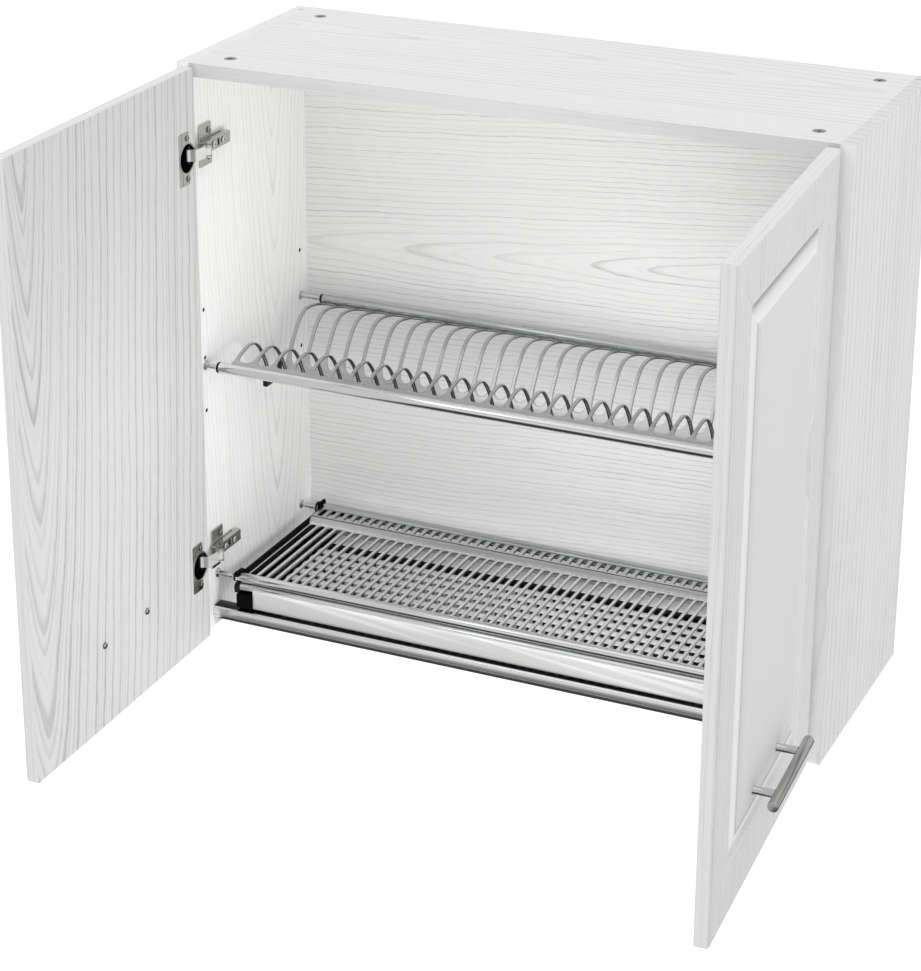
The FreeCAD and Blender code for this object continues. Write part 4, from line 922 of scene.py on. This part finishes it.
for side in SIDES:
    m = (lambda x: x) if side == "left" else (lambda x: 800.0 - x)
    pr = [(42.2, 0.0), (42.2, 4.8), (42.6, 5.7), (43.4, 6.3), (44.6, 6.5), (46.2, 6.4), (46.6, 6.0), (47.1, 6.0), (47.5, 6.4), (49.2, 6.4), (49.8, 6.1), (50.0, 5.7), (50.0, 4.6), (57.6, 4.6), (58.0, 4.2), (58.0, 0.0)]
    caps.append(lathe("c", "x", [(m(a), b) for a, b in pr], 30.0, 55.0, "black", 48))
    blk = prism("b", rounded(23.8, 48.9, 36.2, 55.5, 1.2), "x", m(43.0), m(49.6), "black")
    caps.append(bevel(blk, 0.6, 2))
done(shade(join("tray_rail_end_caps", caps), 40.0, False), "drip_tray", "black_plastic", "tray_end_caps")

# ---------------------------------------------------------------- bottom front rail
y0, z0 = 16.5, 12.0
out = [
    (y0 + 7.8, z0), (y0 + 3.0, z0 + 0.1), (y0 + 1.5, z0 + 0.7), (y0 + 0.75, z0 + 1.8), (y0 + 0.4, z0 + 3.6), (y0 + 0.22, z0 + 5.2), (y0 + 0.95, z0 + 5.5), (y0 + 0.95, z0 + 6.1), (y0 + 0.14, z0 + 6.4),
    (y0, z0 + 9.0), (y0 + 0.06, z0 + 11.6), (y0 + 0.3, z0 + 13.6), (y0 + 0.9, z0 + 15.0), (y0 + 1.8, z0 + 15.75), (y0 + 3.0, z0 + 16.0), (y0 + 20.6, z0 + 16.0), (y0 + 21.3, z0 + 15.7), (y0 + 21.5, z0 + 15.0),
    (y0 + 21.5, z0 + 10.2), (y0 + 20.0, z0 + 10.2), (y0 + 19.9, z0 + 14.4), (y0 + 1.9, z0 + 14.4), (y0 + 1.6, z0 + 12.0), (y0 + 1.6, z0 + 1.9), (y0 + 2.2, z0 + 1.6), (y0 + 8.0, z0 + 1.6), (y0 + 8.0, z0 + 0.2),
]
o = prism("front_rail_extrusion", out, "x", 16.05, 783.95, "alu")
o.data.materials.append(M["alu_dark"])
# the rail's top face and the faces behind its front take the near-black aluminium: painted shade, a painted dark
# reflection of the tray above
for p in o.data.polygons:
    c = p.center
    if (p.normal.z > 0.9 and c.z * 1000 + 680 > 27.9) or c.y * 1000 + 300 > 30.0:
        p.material_index = 1
done(shade(o, 30.0, False), "cabinet", "rail_aluminium", "front_rail")
done(finished("front_rail_blocks", "black", 0.4), "cabinet", "black_plastic", "front_rail_blocks")


# ---------------------------------------------------------------- screws
def screw(axis, sign, seat, p, q, r_head, h_head, r_shank, length, mat, matrix=None, csk=False):
    """A screw with a rounded head and a cross recess. The head stands from its seat along sign * axis."""
    n = 32
    pr = [(-length, 0.0), (-length + 1.2, r_shank * 0.7), (-length + 2.4, r_shank), (0.0, r_shank), (0.0, r_head - 0.15), (0.12, r_head), (0.3 * h_head, r_head)]
    for i in range(1, 6):
        t = math.radians(18 * i)
        pr.append((0.3 * h_head + 0.7 * h_head * math.sin(t), r_head * (math.cos(t) * 0.55 + 0.45) if i < 5 else r_head * 0.45))
    pr.append((h_head, 0.0))
    o = lathe("s", axis, [(seat + sign * a, r) for a, r in pr], p, q, mat, n, matrix)
    cs = []
    for a, b in ((r_head * 0.62, r_head * 0.14), (r_head * 0.14, r_head * 0.62)):
        z0, z1 = sorted((seat + sign * (h_head * 0.25), seat + sign * (h_head + 1.0)))
        cs.append(prism("x", [(p - a, q - b), (p + a, q - b), (p + a, q + b), (p - a, q + b)], axis, z0, z1, "dark", matrix))
    m = modifier(cs[0], "BOOLEAN", operation="UNION", object=cs[1], solver="EXACT")
    apply_all(cs[0])
    bpy.data.objects.remove(cs[1])
    cut(o, cs[0])
    # painted shade on the head's rim and the recess
    o.data.materials.append(M["nickel_deep"])
    last = len(o.data.materials) - 1
    for p in o.data.polygons:
        if abs(p.normal["xyz".index(axis)]) < 0.55:
            p.material_index = last
    return o


def paint_edge_light(o):
    """Plated pressings: painted highlight on the broken edges and painted shade on the faces turned down."""
    o.data.materials.append(M["nickel_painted_light"])
    o.data.materials.append(M["nickel_deep"])
    for p in o.data.polygons:
        if p.normal.z < -0.5:
            p.material_index = 2
        elif p.area < 6e-6 and max(abs(c) for c in p.normal) < 0.97:
            p.material_index = 1
    return o


for side in SIDES:
    m = (lambda x: x) if side == "left" else (lambda x: 800.0 - x)
    D, L = DOOR[side], LINK[side]
    cx, sgn = m(22.0), (1 if side == "left" else -1)
    # cups: drawn cup with a rolled rim, and a flange plate with a set-down border
    cups = []
    for zc in (104.0, 616.0):
        pr = [(-14.3, 0.0), (-14.3, 16.4), (-13.9, 17.1), (-13.2, 17.38), (-2.2, 17.38), (-1.95, 18.4), (-1.6, 18.6), (-1.25, 18.4), (-1.05, 17.8), (-1.1, 17.0), (-1.5, 16.65), (-2.4, 16.5), (-12.6, 16.5), (-13.2, 16.2), (-13.5, 15.4), (-13.5, 0.0)]
        cup = lathe("cup", "y", pr, cx, zc, "nickel", 64, D)
        # the cup's inside is drawn near black: painted shade
        cup.data.materials.append(M["cup_in"])
        for p in cup.data.polygons:
            c = p.center
            x, y, z = c.x * 1000 + 400, c.y * 1000 + 300, c.z * 1000 + 680
            if math.hypot(x - cx, z - zc) < 16.7 and -13.6 < y < -1.45:
                p.material_index = 1
        cups.append(cup)
        ol = rounded(22.0 - 4.5, zc - 31.0, 22.0 + 18.5, zc + 31.0, 2.2)
        if side == "right":
            ol = [(800.0 - a, b) for a, b in ol][::-1]
        plate = prism("plate", ol, "y", -2.0, -1.0, "nickel", D)
        hole = lathe("h", "y", [(-4, 0), (-4, 16.9), (2, 16.9), (2, 0)], cx, zc, "dark", 64, D)
        b0, b1 = sorted((m(33.5), m(44.0)))
        step = prism("h2", [(b0, zc - 40), (b1, zc - 40), (b1, zc + 40), (b0, zc + 40)], "y", -1.45, 0.0, "nickel", D)
        cut(plate, hole, step)
        bevel(plate, 0.3, 2, 40.0)
        cups.append(plate)
    done(shade(join("hinge_cups_%s_drawn" % side, cups), 38.0), side + "_door", "nickel", "hinge_cups_" + side)
    sc = [screw("y", 1, -1.0, cx, zc + dz, 3.6, 1.6, 1.5, 11.5, "nickel", D) for zc in (104.0, 616.0) for dz in (-24.0, 24.0)]
    done(shade(join("hinge_cup_screws_%s_cross" % side, sc), 38.0), side + "_door", "screw_steel", "hinge_cup_screws_" + side)
    sc = [screw("y", 1, -2.0, m(x), 102.0, 4.0, 2.4, 2.0, 12.0, "zinc", D) for x in (152.0, 248.0)]
    done(shade(join("handle_screws_%s_cross" % side, sc), 38.0), side + "_door", "screw_steel", "handle_screws_" + side)
    # the pins inside the cups take the near-black steel: painted shade
    pn = [lathe("p", "z", rod_profile(zc - 11.2, zc + 11.2, 1.5, 0.3), m(PB[0]), PB[1], "steel_painted_shade", 24, D) for zc in (104.0, 616.0)]
    done(shade(join("hinge_cup_pins_%s_turned" % side, pn), 40.0, False), side + "_door", "nickel", "hinge_cup_pins_" + side)
    # the links, with the pressed tail that reaches past the pin into the cup
    # the links and their tails take the lighter nickel copy: painted light
    parts = [finished("hinge_links_" + side, "nickel_painted_light", 0.45, 3, L)]
    for zc in (104.0, 616.0):
        t = math.radians(-138.2)
        ex, ey = math.cos(t), math.sin(t)
        ol = []
        for i in range(9):
            a = math.radians(-90.0 + 22.5 * i)
            ol.append((PB[0] + ex * (1.9 + 1.5 * math.cos(a)) - ey * 1.5 * math.sin(a), PB[1] + ey * (1.9 + 1.5 * math.cos(a)) + ex * 1.5 * math.sin(a)))
        ol += [(PB[0] - ey * 1.5, PB[1] + ex * 1.5), (PB[0] + ey * 1.5, PB[1] - ex * 1.5)]
        if side == "right":
            ol = mirror_x(ol)
        parts.append(bevel(prism("tail", ol, "z", zc - 6.9, zc + 6.9, "nickel_painted_light", L), 0.3, 2, 50.0))
    done(shade(join("hinge_links_%s_pressed" % side, parts), 38.0), side + "_hinge_links", "nickel", "hinge_links_" + side)
    done(paint_edge_light(finished("hinge_plates_" + side, "nickel", 0.45, 3)), "cabinet", "nickel", "hinge_plates_" + side)
    for lv in ("lower", "upper"):
        n = "hinge_arm_%s_%s" % (side, lv)
        done(paint_edge_light(finished(n, "nickel", 0.5, 3)), "cabinet", "nickel", n)
    # bar handle
    xa = m(200.0)
    o = lathe("handle_bar_%s_brushed" % side, "x", rod_profile(xa - 75.0, xa + 75.0, 6.0, 0.55), -46.0, 102.0, "handle", 72, D)
    o.data.materials.append(M["handle_end"])
    for p in o.data.polygons:
        if abs(p.normal.x) > 0.9:
            p.material_index = 1
    done(shade(o, 30.0, False), side + "_door", "handle_steel", "handle_bar_" + side)
    ps = []
    for x in (m(152.0), m(248.0)):
        pr = [(-41.2, 0.0), (-41.2, 4.5), (-19.2, 4.5), (-18.5, 4.75), (-18.0, 4.75), (-18.0, 0.0)]
        ps.append(lathe("post", "y", pr, x, 102.0, "post", 56, D))
    done(shade(join("handle_posts_%s_turned" % side, ps), 30.0, False), side + "_door", "handle_steel", "handle_posts_" + side)

sc = [screw("x", s, (18.4 if s > 0 else 781.6), 37.0, zc + dz, 4.0, 2.0, 2.4, 12.9, "nickel") for s in (1, -1) for zc in (104.0, 616.0) for dz in (-16.0, 16.0)]
done(shade(join("hinge_plate_screws_cross", sc), 38.0), "cabinet", "screw_steel", "hinge_plate_screws")
# the arm screws take the lighter nickel copy: painted light
sc = [screw("x", s, (26.0 if s > 0 else 774.0), y, zc, 3.6, 1.9, 2.0, 7.4, "nickel_painted_light") for s in (1, -1) for zc in (104.0, 616.0) for y in (35.0, 57.0)]
done(shade(join("hinge_arm_screws_cross", sc), 38.0), "cabinet", "screw_steel", "hinge_arm_screws")
pn = [lathe("p", "z", rod_profile(zc - 7.4, zc + 7.4, 2.0, 0.3), x, 8.0, "zinc", 28) for x in (34.0, 766.0) for zc in (104.0, 616.0)]
done(shade(join("hinge_arm_pins_turned", pn), 40.0, False), "cabinet", "nickel", "hinge_arm_pins")
for i in range(1, 5):
    n = "cam_lock_%d" % i
    done(finished(n, "cast", 0.25, 2), "cam_%d" % i, "cam_zinc", n)

# ---------------------------------------------------------------- nodes that keep their CAD mesh
KEEP = {"hanging_bracket_left": "zinc", "hanging_bracket_right": "zinc", "hanging_bracket_screws": "zinc", "connecting_bolts": "zinc", "carcass_dowels": "beech", "front_rail_screws": "zinc"}
for n, o in NODES.items():
    o.data.materials.clear()
    o.data.materials.append(M[KEEP.get(n, "steel")])

# ---------------------------------------------------------------- camera
cam = bpy.data.cameras.new("camera")
co = bpy.data.objects.new("camera", cam)
bpy.context.scene.collection.objects.link(co)
R = ((0.909945, 0.414714, 0.003626), (0.149527, -0.319904, -0.935576), (-0.386836, 0.851865, -0.353106))
X, Y, Z = Vector(R[0]), -Vector(R[1]), -Vector(R[2])
rot = Matrix((X, Y, Z)).transposed()
co.matrix_world = Matrix.Translation(P(1530.41, -2595.7, 1500.6)) @ rot.to_4x4()
cam.sensor_width = 36.0
cam.lens = 2703.09 * 36.0 / 971.0
cam.shift_x = (460.5 - 456.129) / 971.0
cam.shift_y = (350.0 - 485.5) / 971.0
cam.clip_end = 300.0
bpy.context.scene.camera = co

# ---------------------------------------------------------------- stage and light
fl = bpy.data.meshes.new("floor")
s = 60.0
fl.from_pydata([(-s, -s, -1.45), (s, -s, -1.45), (s, s, -1.45), (-s, s, -1.45)], [], [(0, 1, 2, 3)])
floor = bpy.data.objects.new("floor", fl)
bpy.context.scene.collection.objects.link(floor)
g = Graph("pale_floor")
g.set(Base_Color=rgb(0.94), Roughness=0.9)
g.bsdf.inputs["Specular IOR Level"].default_value = 0.0
g.bsdf.inputs["Emission Color"].default_value = (1, 1, 1, 1)
g.bsdf.inputs["Emission Strength"].default_value = 0.22
fl.materials.append(g.mat)
floor.visible_glossy = False

world = bpy.data.worlds.new("studio")
bpy.context.scene.world = world
world.use_nodes = True
wt = world.node_tree
wt.nodes.clear()
wo = wt.nodes.new("ShaderNodeOutputWorld")
bg = wt.nodes.new("ShaderNodeBackground")
tc = wt.nodes.new("ShaderNodeTexCoord")
sp = wt.nodes.new("ShaderNodeSeparateXYZ")
rp = wt.nodes.new("ShaderNodeValToRGB")
wt.links.new(tc.outputs["Generated"], sp.inputs[0])
mr = wt.nodes.new("ShaderNodeMapRange")
mr.inputs["From Min"].default_value = -1
wt.links.new(sp.outputs[2], mr.inputs["Value"])
wt.links.new(mr.outputs[0], rp.inputs[0])
wt.links.new(rp.outputs[0], bg.inputs[0])
wt.links.new(bg.outputs[0], wo.inputs[0])
ramp = rp.color_ramp.elements
STOPS = [(0.0, 0.05), (0.20, 0.06), (0.29, 0.40), (0.35, 0.85), (0.45, 0.92), (0.497, 1.0), (0.60, 0.98), (0.645, 0.50), (0.69, 0.40), (0.73, 0.85), (0.80, 1.05), (1.0, 1.12)]
for i, (p, v) in enumerate(STOPS):
    e = ramp[i] if i < 2 else ramp.new(p)
    e.position = p
    e.color = (v, v, v * 1.004, 1)
bg.inputs["Strength"].default_value = 0.92


def area(name, loc, target, size, power, glossy=True):
    l = bpy.data.lights.new(name, "AREA")
    l.energy, l.size = power, size
    o = bpy.data.objects.new(name, l)
    bpy.context.scene.collection.objects.link(o)
    o.location = loc
    o.rotation_euler = (Vector(target) - Vector(loc)).to_track_quat("-Z", "Y").to_euler()
    o.visible_glossy = glossy
    return o


area("key", (-2.4, -2.6, 2.0), (0, -0.2, -0.3), 2.0, 16)
area("fill", (0.35, -3.2, -0.15), (0, -0.2, -0.35), 2.0, 17, False)
near = area("inside_fill", (0.27, -0.42, -0.36), (-0.40, -0.30, -0.42), 0.22, 1.75, False)
near.visible_camera = False
# it lights the open cabinet; with the right door shut it would stand right before that door's face, so it leaves that door out
spared = bpy.data.collections.new("right_door_faces")
for n in ("door_right_leaf", "handle_bar_right_brushed", "handle_posts_right_turned"):
    spared.objects.link(bpy.data.objects[n])
near.light_linking.receiver_collection = spared
for c in spared.collection_objects:
    c.light_linking.link_state = "EXCLUDE"

bpy.context.scene.view_settings.view_transform = "Standard"
bpy.context.scene.view_settings.look = "None"
